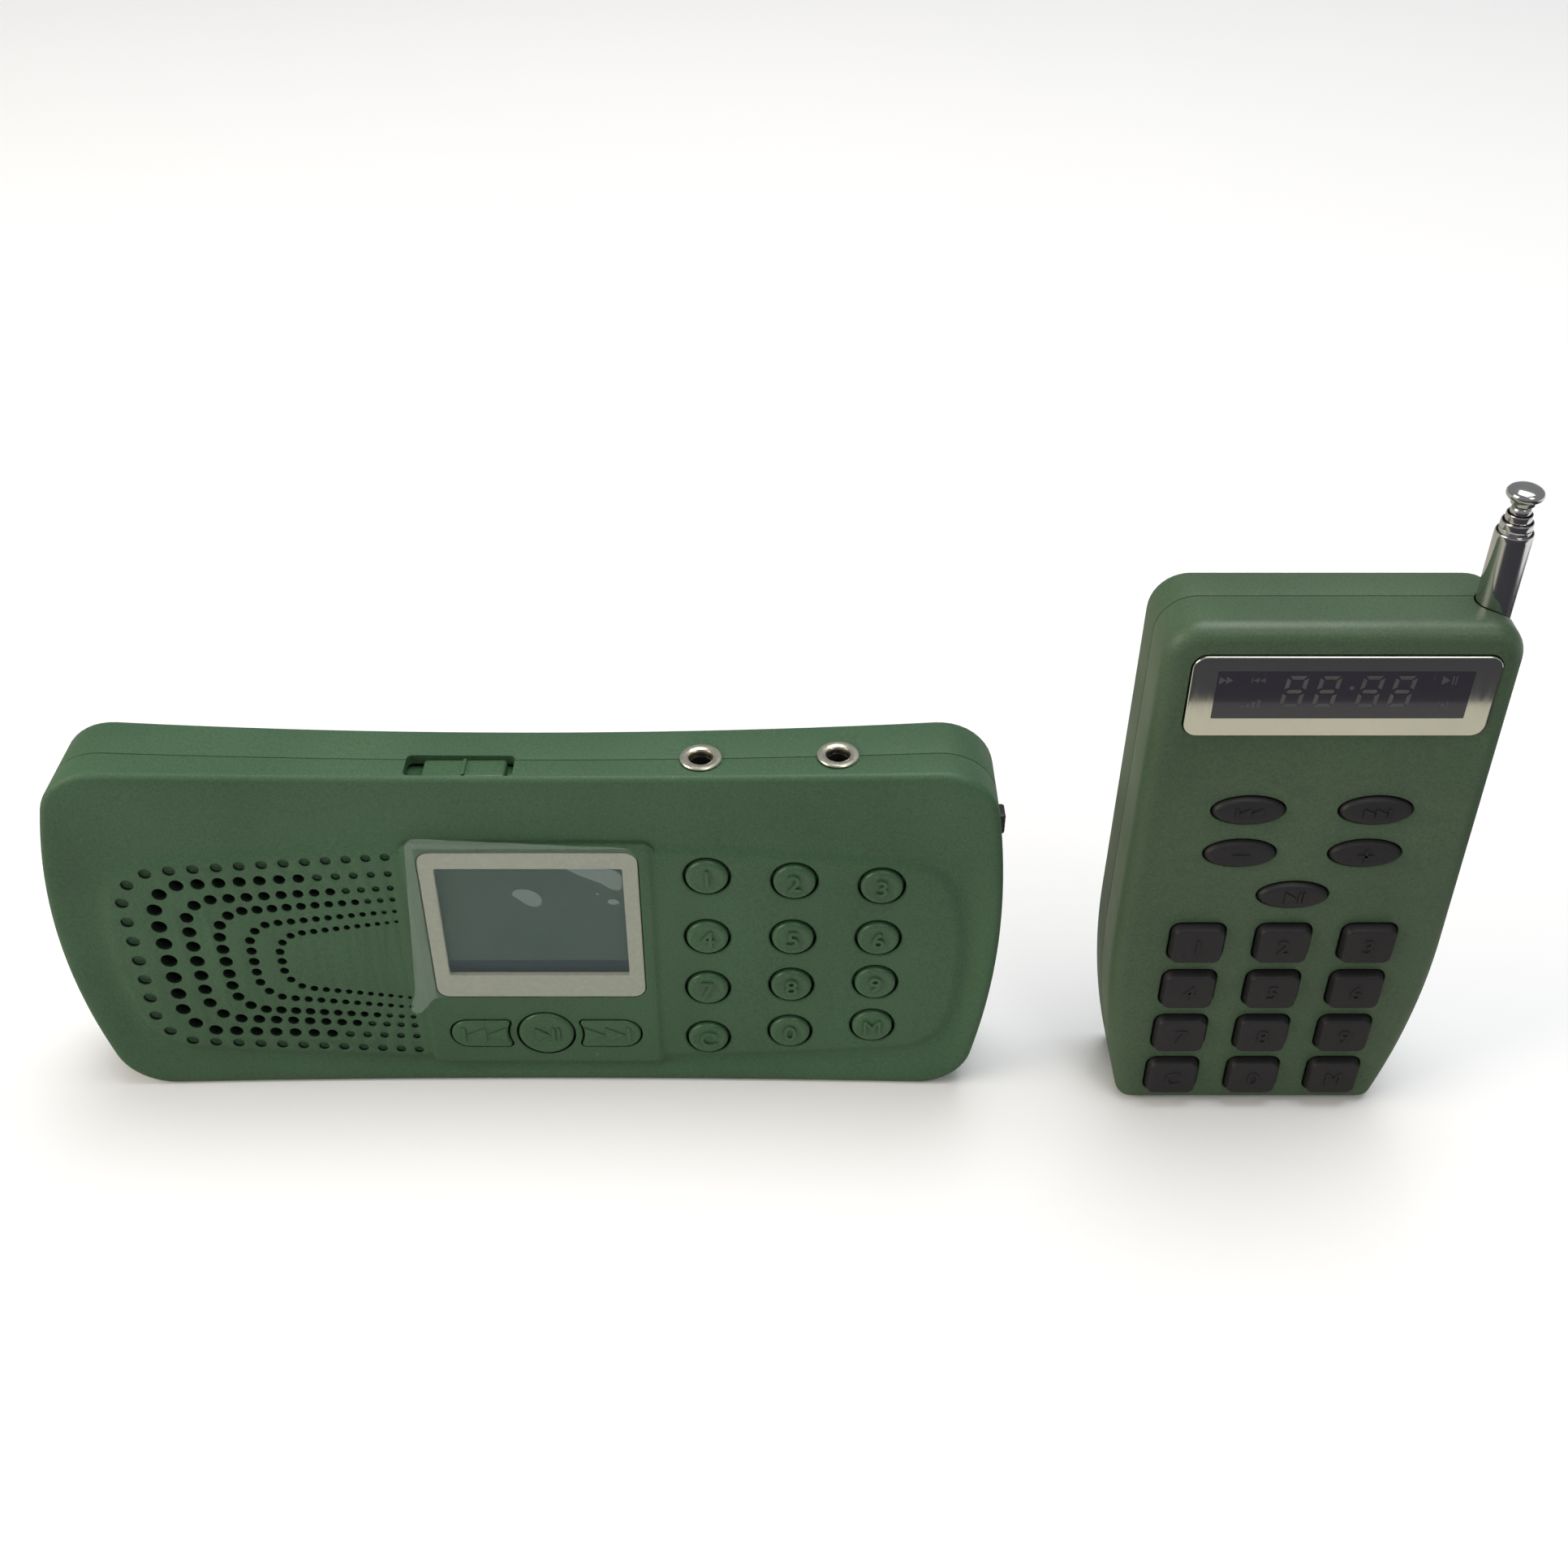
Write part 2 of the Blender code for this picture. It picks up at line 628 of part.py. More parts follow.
def build_door(name, centre, size, rear_y, green):
    """A plate with a thumb notch near its lower edge."""
    points = box_outline(centre, door_size(size), 0.002)
    door = prism(name, points, rear_y - DOOR_THICKNESS, rear_y, green)
    notch_x = (centre[0] - 0.006, centre[0] + 0.006)
    notch_z = centre[1] - size[1] / 2 + 0.003
    notch_y = (rear_y - 0.0005, rear_y + 0.001)
    cut(door, block(name + "_notch", notch_x, notch_y, (notch_z, notch_z + 0.002)))
    return door


def build_caller_keys(green):
    """Round caps with a flange behind the plate, each turned about its own axis of travel."""
    flange_back = -(0.00262 + KEY_FLANGE_THICKNESS)
    profile = (
        (0.0, 0.0),
        (KEY_RADIUS - 0.0009, -0.0001),
        (KEY_RADIUS, -0.0006),
        (KEY_RADIUS, -0.00262),
        (KEY_RADIUS + KEY_FLANGE, -0.00262),
        (KEY_RADIUS + KEY_FLANGE, flange_back),
        (0.0, flange_back),
    )
    for name, x, z in key_places():
        face = Vector((x, dished(x, PLATEAU_Y) - KEY_PROUD, z))
        turned(f"caller_key_{name}", profile, face, (0, -1, 0), green, 14)
    face_y = dished(0, CENTRE_Y) - TRANSPORT_PROUD
    wider = PLAY_RADIUS - KEY_RADIUS
    play = [(radius + wider if radius else 0, height) for radius, height in profile]
    turned("caller_key_play", play, (0, face_y, TRANSPORT_Z), (0, -1, 0), green, 20)
    for side, name in ((-1, "previous"), (1, "next")):
        loops = (
            at_depth(transport_outline(side, 0.0003), face_y),
            at_depth(transport_outline(side), face_y + 0.0003),
            at_depth(transport_outline(side), face_y + 0.0025),
            at_depth(transport_outline(side, -0.0004), face_y + 0.0025),
            at_depth(transport_outline(side, -0.0004), face_y + 0.0031),
        )
        loft(f"caller_key_{name}", loops, green)


def build_caller_inside(looks):
    board_x, board_z = (-0.0200, 0.0690), (0.0045, 0.0545)
    board = block("caller_main_board", board_x, (-0.0024, -0.0008), board_z, looks["board"])
    switches = key_places() + [(side, side * 0.0105, TRANSPORT_Z) for side in (-1, 0, 1)]
    for name, x, z in switches:
        tact_x, tact_z = (x - 0.002, x + 0.002), (z - 0.002, z + 0.002)
        join(board, block(f"tact_{name}", tact_x, (-0.0028, -0.0020), tact_z))
    block("caller_lcd", (-0.0172, 0.0172), (-0.0043, -0.0028), (0.0205, 0.0530), looks["lcd"])
    front = dished(0, CENTRE_Y)
    lens = box_outline((0, LENS_Z), LENS_SIZE, 0.0015)
    prism("caller_screen_lens", lens, front, front + 0.0008, looks["lens"])
    battery = box_outline(CALLER_BATTERY, BATTERY_SIZE, 0.001)
    prism("caller_battery", battery, 0.0006, 0.0006 + BATTERY_THICKNESS, looks["battery"])


def build_speaker(looks):
    r = SPEAKER_RADIUS
    front = -0.0043
    frame = (
        (r - 0.0020, 0.0),
        (r, 0.0),
        (r, -0.0010),
        (0.0130, -0.0052),
        (0.0130, -0.0090),
        (0.0, -0.0090),
        (0.0, -0.0052),
        (0.0105, -0.0052),
        (r - 0.0020, -0.0010),
        (r - 0.0020, 0.0),
    )
    turned("speaker_frame", frame, (SPEAKER_X, front, GRILLE_Z), (0, -1, 0), looks["steel"], 20)
    cone = (
        (0.0, -0.0022),
        (0.0050, -0.0026),
        (0.0062, -0.0036),
        (r - 0.0046, -0.0005),
        (r - 0.0030, -0.0002),
        (r - 0.0024, -0.0005),
        (r - 0.0030, -0.0008),
        (r - 0.0048, -0.0012),
        (0.0062, -0.0044),
        (0.0, -0.0032),
    )
    turned("speaker_cone", cone, (SPEAKER_X, front, GRILLE_Z), (0, -1, 0), looks["cone"], 20)


def build_caller_edge_pieces(looks):
    for name, x in zip(("jack_left", "jack_right"), JACKS_X):
        profile = (
            (JACK_BORE_RADIUS, 0.00035),
            (JACK_BORE_RADIUS + 0.0004, 0.00055),
            (JACK_RING_RADIUS, 0.00055),
            (JACK_RING_RADIUS, 0.0002),
            (JACK_BARREL_RADIUS, 0.0002),
            (JACK_BARREL_RADIUS, -0.0120),
            (0.0, -0.0120),
            (0.0, -0.0112),
            (JACK_BORE_RADIUS, -0.0112),
            (JACK_BORE_RADIUS, 0.00035),
        )
        turned(name, profile, (x, JACK_Y, caller_top_z(x)), (0, 0, 1), looks["nickel"], 20)
    y = (SLOT_Y[0] + GAP, SLOT_Y[1] - GAP)
    low, high = 0.0650, caller_top_z(SLIDER_X[0]) - 0.0005
    slider = block("lock_slider", SLIDER_X, y, (low, high), looks["green"])
    middle = (SLIDER_X[0] + SLIDER_X[1]) / 2
    rib_x, rib_y = (middle - 0.0005, middle + 0.0005), (y[0] + 0.0002, y[1] - 0.0002)
    join(slider, block("slider_rib", rib_x, rib_y, (high - 0.0005, high + 0.0005)))
    base_x, base_y = (SLIDER_X[0] - 0.0033, SLIDER_X[1] + 0.0018), (y[0] + 0.0008, y[1] + 0.0010)
    join(slider, block("slider_base", base_x, base_y, (low - 0.0008, low + 0.0008)))
    switch = block("power_switch", (0.0710, SWITCH_TIP_X), SWITCH_Y, SWITCH_Z, looks["black"])
    base_y = (SWITCH_Y[0] - 0.0010, SWITCH_Y[1] + 0.0010)
    base_z = (SWITCH_Z[0] - 0.0010, SWITCH_Z[1] + 0.0006)
    join(switch, block("switch_base", (0.0704, 0.0716), base_y, base_z))


def build_screw(name, x, head_y, z, length, steel):
    """A pan-head screw that goes in from the back; its cross recess is a slot cut each way."""
    profile = (
        (0.0, 0.0),
        (0.0018, -0.0003),
        (0.0021, -0.0012),
        (0.0010, -0.0013),
        (0.0009, -length),
        (0.0, -length),
    )
    screw = turned(name, profile, (x, head_y, z), (0, 1, 0), steel, 12)
    for i, (wide, high) in enumerate(((0.0011, 0.00025), (0.00025, 0.0011))):
        slot_y = (head_y - 0.0007, head_y + 0.001)
        cut(screw, block(f"{name}_slot_{i}", (x - wide, x + wide), slot_y, (z - high, z + high)))


# ---------------------------------------------------------------- remote


def build_remote_front(green):
    fillet = REMOTE_FRONT_FILLET
    loops = (
        at_depth(remote_outline(), -GAP / 2),
        at_depth(remote_outline(), REMOTE_FRONT_Y + fillet),
        at_depth(remote_outline(0.3 * fillet), REMOTE_FRONT_Y + 0.3 * fillet),
        at_depth(remote_outline(fillet), REMOTE_FRONT_Y),
    )
    shell = loft("remote_front_shell", loops, green)
    cut(shell, prism("remote_front_cavity", remote_outline(REMOTE_WALL), REMOTE_FRONT_INSIDE_Y, 0.001))
    x, z = REMOTE_SCREW
    join(shell, cylinder("remote_front_boss", (x, -0.0080, z), (x, -0.0004, z), 0.0025))
    cut(shell, cylinder("remote_front_boss_hole", (x, -0.0040, z), (x, 0.001, z), 0.0013))
    cut_aerial_way(shell)
    seat = box_outline((0, REMOTE_LENS_Z), REMOTE_LENS, REMOTE_LENS_CORNER, -GAP / 2)
    cut(shell, prism("remote_lens_seat", seat, -0.012, REMOTE_FRONT_Y + 0.0011))
    holes = {"window": box_outline((0, REMOTE_LCD_Z), REMOTE_LCD, 0.0005)}
    for name, centre in remote_keys():
        holes[name] = box_outline(centre, REMOTE_KEY, REMOTE_KEY_CORNER, -GAP)
    for name, centre in OVAL_KEYS.items():
        holes[name] = ellipse_outline(centre, OVAL_KEY, -GAP)
    for name, points in holes.items():
        cut(shell, prism(f"remote_hole_{name}", points, -0.012, -0.006))
    return shell


def cut_aerial_way(shell):
    """The channel that the aerial's outer tube stands in, open at the top."""
    radius = AERIAL_RADII[0] + GAP
    foot = (AERIAL_X, AERIAL_Y, AERIAL_FOOT_Z - 0.001)
    mouth = (AERIAL_X, AERIAL_Y, REMOTE_HEIGHT + 0.005)
    cut(shell, cylinder(shell.name + "_aerial_way", foot, mouth, radius))


def remote_keys():
    """(name, centre) of each of the remote's square keys."""
    places = [(x, z) for z in REMOTE_ROWS_Z for x in REMOTE_COLUMNS_X]
    return list(zip(KEY_NAMES, places))


def build_remote_rear(green):
    fillet = REMOTE_REAR_FILLET
    loops = (
        at_depth(remote_outline(), GAP / 2),
        at_depth(remote_outline(), REMOTE_REAR_Y - fillet),
        at_depth(remote_outline(0.3 * fillet), REMOTE_REAR_Y - 0.3 * fillet),
        at_depth(remote_outline(fillet), REMOTE_REAR_Y),
    )
    shell = loft("remote_rear_shell", loops, green)
    cut(shell, prism("remote_rear_cavity", remote_outline(REMOTE_WALL), -0.001, REMOTE_REAR_INSIDE_Y))
    upright = (BATTERY_SIZE[1], BATTERY_SIZE[0])
    add_battery_bay(shell, (0, REMOTE_BATTERY_Z), upright, 0.0004, REMOTE_REAR_INSIDE_Y, REMOTE_REAR_Y)
    x, z = REMOTE_SCREW
    join(shell, cylinder("remote_rear_boss", (x, 0.0002, z), (x, 0.0066, z), 0.0032))
    cut(shell, cylinder("remote_rear_boss_hole", (x, -0.001, z), (x, 0.009, z), 0.0014))
    cut(shell, cylinder("remote_rear_screw_seat", (x, 0.0056, z), (x, 0.009, z), 0.0025))
    cut_aerial_way(shell)
    return shell


def build_remote_keys(rubber):
    face_y = REMOTE_FRONT_Y - REMOTE_KEY_PROUD
    back_y = REMOTE_FRONT_INSIDE_Y + 0.0018
    for name, centre in remote_keys():
        loops = (
            at_depth(box_outline(centre, REMOTE_KEY, REMOTE_KEY_CORNER, 0.0007), face_y),
            at_depth(box_outline(centre, REMOTE_KEY, REMOTE_KEY_CORNER, 0.0002), face_y + 0.0003),
            at_depth(box_outline(centre, REMOTE_KEY, REMOTE_KEY_CORNER), REMOTE_FRONT_Y),
            at_depth(box_outline(centre, REMOTE_KEY, REMOTE_KEY_CORNER), back_y),
        )
        loft(f"remote_key_{name}", loops, rubber)
    face_y = REMOTE_FRONT_Y - OVAL_KEY_PROUD
    for name, centre in OVAL_KEYS.items():
        loops = (
            at_depth(ellipse_outline(centre, OVAL_KEY, 0.0012), face_y),
            at_depth(ellipse_outline(centre, OVAL_KEY, 0.0003), face_y + 0.0003),
            at_depth(ellipse_outline(centre, OVAL_KEY), REMOTE_FRONT_Y),
            at_depth(ellipse_outline(centre, OVAL_KEY), back_y),
        )
        loft(f"remote_key_{name}", loops, rubber)


def build_remote_inside(looks):
    board_x, board_z = (-0.0190, 0.0185), (0.0030, 0.0740)
    board = block("remote_board", board_x, (-0.0042, -0.0030), board_z, looks["board"])
    for name, (x, z) in remote_keys() + list(OVAL_KEYS.items()):
        dome_x, dome_z = (x - 0.002, x + 0.002), (z - 0.0015, z + 0.0015)
        join(board, block(f"dome_{name}", dome_x, (-0.0046, -0.0040), dome_z))
    block("remote_lcd", (-0.0205, 0.0205), (-0.0073, -0.0052), (0.0805, 0.0940), looks["lcd"])
    lens = box_outline((0, REMOTE_LENS_Z), REMOTE_LENS, REMOTE_LENS_CORNER)
    front = REMOTE_FRONT_Y - REMOTE_LENS_PROUD
    prism("remote_screen_lens", lens, front, REMOTE_FRONT_Y + 0.0008, looks["mirror"])
    battery = box_outline((0, REMOTE_BATTERY_Z), (BATTERY_SIZE[1], BATTERY_SIZE[0]), 0.001)
    prism("remote_battery", battery, 0.0015, 0.0015 + BATTERY_THICKNESS, looks["battery"])


def build_aerial(chrome):
    """Tubes nested in one another, each with a rolled end, and a rod with a knob in the last."""
    names = ("aerial_tube", "aerial_section_2", "aerial_section_3", "aerial_section_4")
    for i, (name, outer, top) in enumerate(zip(names, AERIAL_RADII, AERIAL_TOPS_Z)):
        foot = AERIAL_FOOT_Z + i * AERIAL_FOOT_STEP
        bore = outer - AERIAL_WALL
        profile = (
            (bore, top - foot - 0.0004),
            (bore + 0.0001, top - foot),
            (outer - 0.00005, top - foot - 0.0002),
            (outer, top - foot - 0.0006),
            (outer, 0.0),
            (0.0, 0.0),
            (0.0, 0.0005),
            (bore, 0.0005),
            (bore, top - foot - 0.0004),
        )
        turned(name, profile, (AERIAL_X, AERIAL_Y, foot), (0, 0, 1), chrome, 16)
    foot = AERIAL_FOOT_Z + len(names) * AERIAL_FOOT_STEP
    collar = AERIAL_TOPS_Z[-1] + GAP
    levels = (KNOB_TOP_Z, KNOB_TOP_Z - 0.0004, KNOB_TOP_Z - 0.0011, collar + 0.0010, collar)
    heights = [z - foot for z in levels]
    knob = (
        (0.0, heights[0]),
        (0.0016, heights[0] - 0.0001),
        (KNOB_RADIUS, heights[1]),
        (KNOB_RADIUS - 0.0003, heights[2]),
        (TIP_COLLAR_RADIUS - 0.0001, heights[2] - 0.0006),
        (TIP_COLLAR_RADIUS, heights[3]),
        (TIP_COLLAR_RADIUS - 0.0003, heights[4]),
        (TIP_RADIUS, heights[4]),
        (TIP_RADIUS, 0.0),
        (0.0, 0.0),
    )
    turned("aerial_tip", knob, (AERIAL_X, AERIAL_Y, foot), (0, 0, 1), chrome, 16)


def stand_remote(pieces):
    """Put every piece of the remote under one empty, which carries it to its place."""
    place = bpy.data.objects.new("remote_place", None)
    bpy.context.scene.collection.objects.link(place)
    place.location = (REMOTE_X, REMOTE_PARTING_Y, 0)
    for obj in pieces:
        obj.parent = place


# ---------------------------------------------------------------- everything


clear_scene()
parts = new_collection("electronic_game_caller")
cutters = new_collection("cutters")
LOOKS = {
    "green": new_material("green_plastic", (0.065, 0.115, 0.065), 0.55),
    "rubber": new_material("black_rubber", (0.028, 0.027, 0.030), 0.7),
    "black": new_material("black_plastic", (0.02, 0.02, 0.02), 0.5),
    "board": new_material("circuit_board", (0.03, 0.16, 0.08), 0.5),
    "lcd": new_material("liquid_crystal", (0.08, 0.11, 0.11), 0.25),
    "lens": new_material("printed_lens", (0.42, 0.45, 0.38), 0.2),
    "mirror": new_material("silvered_lens", (0.7, 0.7, 0.68), 0.1, 0.9),
    "battery": new_material("battery_wrap", (0.10, 0.12, 0.16), 0.45),
    "steel": new_material("steel", (0.45, 0.45, 0.46), 0.35, 1.0),
    "cone": new_material("paper_cone", (0.03, 0.03, 0.03), 0.8),
    "nickel": new_material("nickel_plate", (0.62, 0.60, 0.56), 0.25, 1.0),
    "chrome": new_material("chrome_plate", (0.75, 0.74, 0.72), 0.08, 1.0),
}

build_caller_front(LOOKS["green"])
build_caller_rear(LOOKS["green"])
dish(build_door("caller_battery_door", CALLER_BATTERY, BATTERY_SIZE, CALLER_REAR_Y, LOOKS["green"]))
build_caller_keys(LOOKS["green"])
build_caller_inside(LOOKS)
build_speaker(LOOKS)
build_caller_edge_pieces(LOOKS)
for screw_side, screw_x in zip(("left", "right"), SCREWS_X):
    build_screw(f"caller_screw_{screw_side}", screw_x, 0.0063, SCREW_Z, 0.0095, LOOKS["steel"])
caller_pieces = set(parts.objects) | set(cutters.objects)

build_remote_front(LOOKS["green"])
build_remote_rear(LOOKS["green"])
upright_battery = (BATTERY_SIZE[1], BATTERY_SIZE[0])
build_door("remote_battery_door", (0, REMOTE_BATTERY_Z), upright_battery, REMOTE_REAR_Y, LOOKS["green"])
build_remote_keys(LOOKS["rubber"])
build_remote_inside(LOOKS)
build_aerial(LOOKS["chrome"])
build_screw("remote_screw", REMOTE_SCREW[0], 0.0071, REMOTE_SCREW[1], 0.0100, LOOKS["steel"])
stand_remote((set(parts.objects) | set(cutters.objects)) - caller_pieces)
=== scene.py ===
import math

import bmesh
import bpy
from mathutils import Matrix, Vector


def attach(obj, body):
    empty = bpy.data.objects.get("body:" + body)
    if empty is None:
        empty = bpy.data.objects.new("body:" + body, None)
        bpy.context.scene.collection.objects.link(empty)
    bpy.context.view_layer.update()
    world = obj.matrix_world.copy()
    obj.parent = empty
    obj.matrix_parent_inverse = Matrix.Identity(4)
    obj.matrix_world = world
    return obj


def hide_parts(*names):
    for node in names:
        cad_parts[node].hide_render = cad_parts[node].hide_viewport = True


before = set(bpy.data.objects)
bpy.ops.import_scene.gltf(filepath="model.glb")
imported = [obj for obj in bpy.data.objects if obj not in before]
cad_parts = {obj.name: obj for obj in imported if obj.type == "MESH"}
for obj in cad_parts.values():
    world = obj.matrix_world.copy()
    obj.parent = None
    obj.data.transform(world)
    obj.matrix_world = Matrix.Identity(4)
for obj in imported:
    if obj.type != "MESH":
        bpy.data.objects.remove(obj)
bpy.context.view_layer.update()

MM = 0.001
GAP = 0.0003

# Caller casing, as in the CAD (metres)
CORNER_X, HEIGHT, TOP_SAG, CORNER_RADIUS = 0.0732, 0.0698, 0.00175, 0.0095
FOOT_X, TOP_X, SIDE_BOWS = (-0.0739, 0.0725), (-0.0732, 0.074), (0.0057, 0.0041)
FRONT_Y, PARTING_Y, REAR_Y = -0.008, -0.0016, 0.008
FRONT_INSIDE_Y, REAR_INSIDE_Y = -0.0056, 0.0064
HALF_WIDTH, DISH, WALL = 0.0793, 0.0014, 0.0017
VALLEY_Y, PLATEAU_Y, CENTRE_Y = -0.00665, -0.0074, -0.0079
FRONT_FILLET, REAR_FILLET = 0.0012, 0.0015
PLATEAU_X, PLATEAU_Z, PLATEAU_CORNER, PLATEAU_SLOPE = 0.069, (0.008, 0.0513), 0.011, 0.0026
PLATEAU_BOWS = (0.004, 0.0035, 0.0037, 0.0035)
PANEL_CENTRE, PANEL_SIZE, PANEL_CORNER = (0, 0.0293), (0.0406, 0.05), 0.0015

# Caller keys
KEY_COLUMNS_X = (0.02895, 0.0432, 0.05745)
KEY_ROWS_Z = (0.0469, 0.0345, 0.0235, 0.0123)
KEY_FAN, KEY_FAN_Z, KEY_LEAN = 0.0735, 0.0356, 0.0195
KEY_MARKS = ("1", "2", "3", "4", "5", "6", "7", "8", "9", "C", "0", "M")
KEY_NAMES = ("1", "2", "3", "4", "5", "6", "7", "8", "9", "clear", "0", "mode")
KEY_RADIUS, KEY_HOLE, PLAY_RADIUS, TRANSPORT_Z = 0.00345, 0.0039, 0.0048, 0.0118
FLANGE, FLANGE_FRONT = 0.0008, -0.00262
WELL_Y, RECESS_Y, RECESS_Z = -0.005, -0.0062, (0.0055, 0.0535)
KEY_BACK, PLAY_BACK, KEY_LETTER = -0.00294, -0.00322, 0.0046

# Screen, sockets, slider, switch, screws and battery of the caller
LENS_SIZE, LENS_Z = (0.0357, 0.0322), 0.0368
LCD_SIZE, LCD_Z = (0.0306, 0.0238), 0.0377
JACKS_X, JACK_Y = (0.0284, 0.05), -0.0017
SLOT_X, SLOT_Y, SLIDER_X = (-0.018, -0.0009), (-0.0057, -0.0005), (-0.0153, -0.0022)
SWITCH_Z, SWITCH_SLOT_Z = (0.0542, 0.058), (0.0513, 0.0584)
SWITCH_X, SWITCH_Y = (0.071, 0.0771), (-0.0033, 0.0001)
SCREWS_X, SCREW_Z = (-0.062, 0.066), 0.0595
SCREW_SHANK, SCREW_HEAD = 0.0014, 0.0025
FILM_LEFT_X, FILM_TOP_Z = -0.018, 0.053
SPEAKER_X, CLOTH_RADIUS, CLOTH_Y = -0.046, 0.022, (-0.00462, -0.00442)
BATTERY, CALLER_BATTERY = (0.053, 0.034), (0.039, 0.033)
UPRIGHT_BATTERY = BATTERY[::-1]

# Speaker grille: rows of holes round one end, each the same above and below its own middle height
GRILLE_Z, GRILLE_RIGHT_X, GRILLE_SPREAD = 0.029, -0.0228, 0.18
GRILLE = (  # apex x, lift, half height, slope, corner, steps a half, blind ones, big and small radius
    (-0.0671, 0.0006, 0.0222, 0.07, 0.007, 16, 17, 0.00115, 0.0008),
    (-0.0621, 0.0005, 0.01875, 0.058, 0.0055, 16, 5, 0.00125, 0.00065),
    (-0.0574, 0.0003, 0.0159, 0.073, 0.005, 16, 4, 0.0011, 0.0006),
    (-0.0526, 0.0001, 0.0136, 0.088, 0.005, 16, 3, 0.001, 0.0005),
    (-0.0479, 0.0, 0.0111, 0.12, 0.0045, 15, 2, 0.0008, 0.0004),
    (-0.0432, 0.0, 0.0088, 0.147, 0.004, 13, 2, 0.0007, 0.00035),
)

# Remote, in its own frame: x from its middle, y from its parting plane
REMOTE = Vector((0.123, -0.0025, 0))
R_MIDDLE, R_FOOT, R_WIDE, R_TOP = -0.0004, 0.022, 0.0269, 0.02625
R_KNEE, R_HEIGHT, R_CORNERS = 0.036, 0.099, (0.0025, 0.0025, 0, 0.006, 0.006, 0)
R_FRONT, R_REAR, R_WALL = -0.0092, 0.0078, 0.0016
R_FRONT_INSIDE, R_REAR_INSIDE = -0.0076, 0.0062
R_FRONT_FILLET, R_REAR_FILLET = 0.0028, 0.002
R_LENS, R_LENS_Z, R_LENS_CORNER = (0.0449, 0.0141), 0.0875, 0.0022
R_LCD, R_LCD_Z = (0.0373, 0.0084), 0.0879
R_PLACES = [(x, z) for z in (0.0385, 0.0281, 0.0177, 0.0074) for x in (-0.0142, -0.0003, 0.0136)]
R_KEY, R_KEY_CORNER, R_PROUD = (0.0086, 0.0076), 0.0015, 0.0017
R_OVAL, R_OVAL_PROUD, MARK_PROUD = (0.0111, 0.0051), 0.0008, 0.0002
R_KEY_BACK, R_WELL, R_LETTER = -0.0058, -0.006, 0.0042
R_OVALS = {
    "previous": (-0.0101, 0.066),
    "next": (0.0095, 0.066),
    "volume_down": (-0.0101, 0.0574),
    "volume_up": (0.0095, 0.0574),
    "play": (-0.0003, 0.0487),
}
R_BATTERY, R_SCREW = (0, 0.0385), (-0.015, 0.0772)
AERIAL = Vector((0.0221, -0.0015, 0))
AERIAL_RADII = (0.00275, 0.00232, 0.0019, 0.0015)
AERIAL_TOPS = (0.1107, 0.1124, 0.1136, 0.1147)
AERIAL_FOOT, KNOB_TOP, ROD = 0.0345, 0.1178, 0.0008
FRONT_WAY, REAR_WAY, UP = (0, -1, 0), (0, 1, 0), (0, 0, 1)


# ---- materials


class Look:
    """A Principled material, with small helpers for its noise, colour and bump."""

    def __init__(self, name, colour, roughness, metallic=0.0, **constants):
        self.material = bpy.data.materials.new(name)
        self.material.use_nodes = True
        self.tree = self.material.node_tree
        self.inputs = self.tree.nodes["Principled BSDF"].inputs
        self.inputs["Base Color"].default_value = (*colour, 1)
        self.inputs["Roughness"].default_value = roughness
        self.inputs["Metallic"].default_value = metallic
        for key, value in constants.items():
            self.inputs[key.replace("_", " ")].default_value = value
        self.place = self.tree.nodes.new("ShaderNodeTexCoord").outputs["Object"]
        self.normal = None

    def node(self, kind, **inputs):
        """A new node; each input is linked to the socket, or set to the value, that it is given."""
        node = self.tree.nodes.new("ShaderNode" + kind)
        for name, value in inputs.items():
            self.put(value, node.inputs[name.replace("_", " ")])
        return node

    def put(self, value, socket):
        if isinstance(value, bpy.types.NodeSocket):
            self.tree.links.new(value, socket)
        else:
            socket.default_value = value

    def noise(self, scale, detail=3.0, stretch=None, distortion=0.0, roughness=0.5):
        place = self.place
        if stretch:
            place = self.node("Mapping", Vector=place, Scale=stretch).outputs["Vector"]
        node = self.node("TexNoise", Vector=place, Scale=scale, Detail=detail, Roughness=roughness)
        node.inputs["Distortion"].default_value = distortion
        return node.outputs["Fac"]

    def ramp(self, value, *stops):
        node = self.node("ValToRGB", Fac=value)
        for element, (where, colour) in zip(node.color_ramp.elements, stops):
            element.position = where
            element.color = (*colour, 1) if isinstance(colour, tuple) else (colour, colour, colour, 1)
        return node.outputs["Color"]

    def mixed(self, factor, a, b, blend="MIX"):
        node = self.tree.nodes.new("ShaderNodeMix")
        node.data_type, node.blend_type = "RGBA", blend
        for name, value in (("Factor", factor), ("A", a), ("B", b)):
            socket = [s for s in node.inputs if s.name == name and s.enabled][0]
            self.put((*value, 1) if isinstance(value, tuple) else value, socket)
        return [s for s in node.outputs if s.enabled][0]

    def colour_from(self, value):
        self.tree.links.new(value, self.inputs["Base Color"])

    def blotched(self, value, low, high):
        """The colour drifts softly between two tones."""
        self.colour_from(self.ramp(value, (0.3, low), (0.7, high)))

    def rough_from(self, value, low, high):
        node = self.node("MapRange", Value=value, From_Min=0.3, From_Max=0.7, To_Min=low, To_Max=high)
        self.tree.links.new(node.outputs["Result"], self.inputs["Roughness"])

    def bump(self, value, strength, distance):
        node = self.node("Bump", Height=value, Strength=strength, Distance=distance)
        if self.normal:
            self.tree.links.new(self.normal, node.inputs["Normal"])
        self.normal = node.outputs["Normal"]
        self.tree.links.new(self.normal, self.inputs["Normal"])


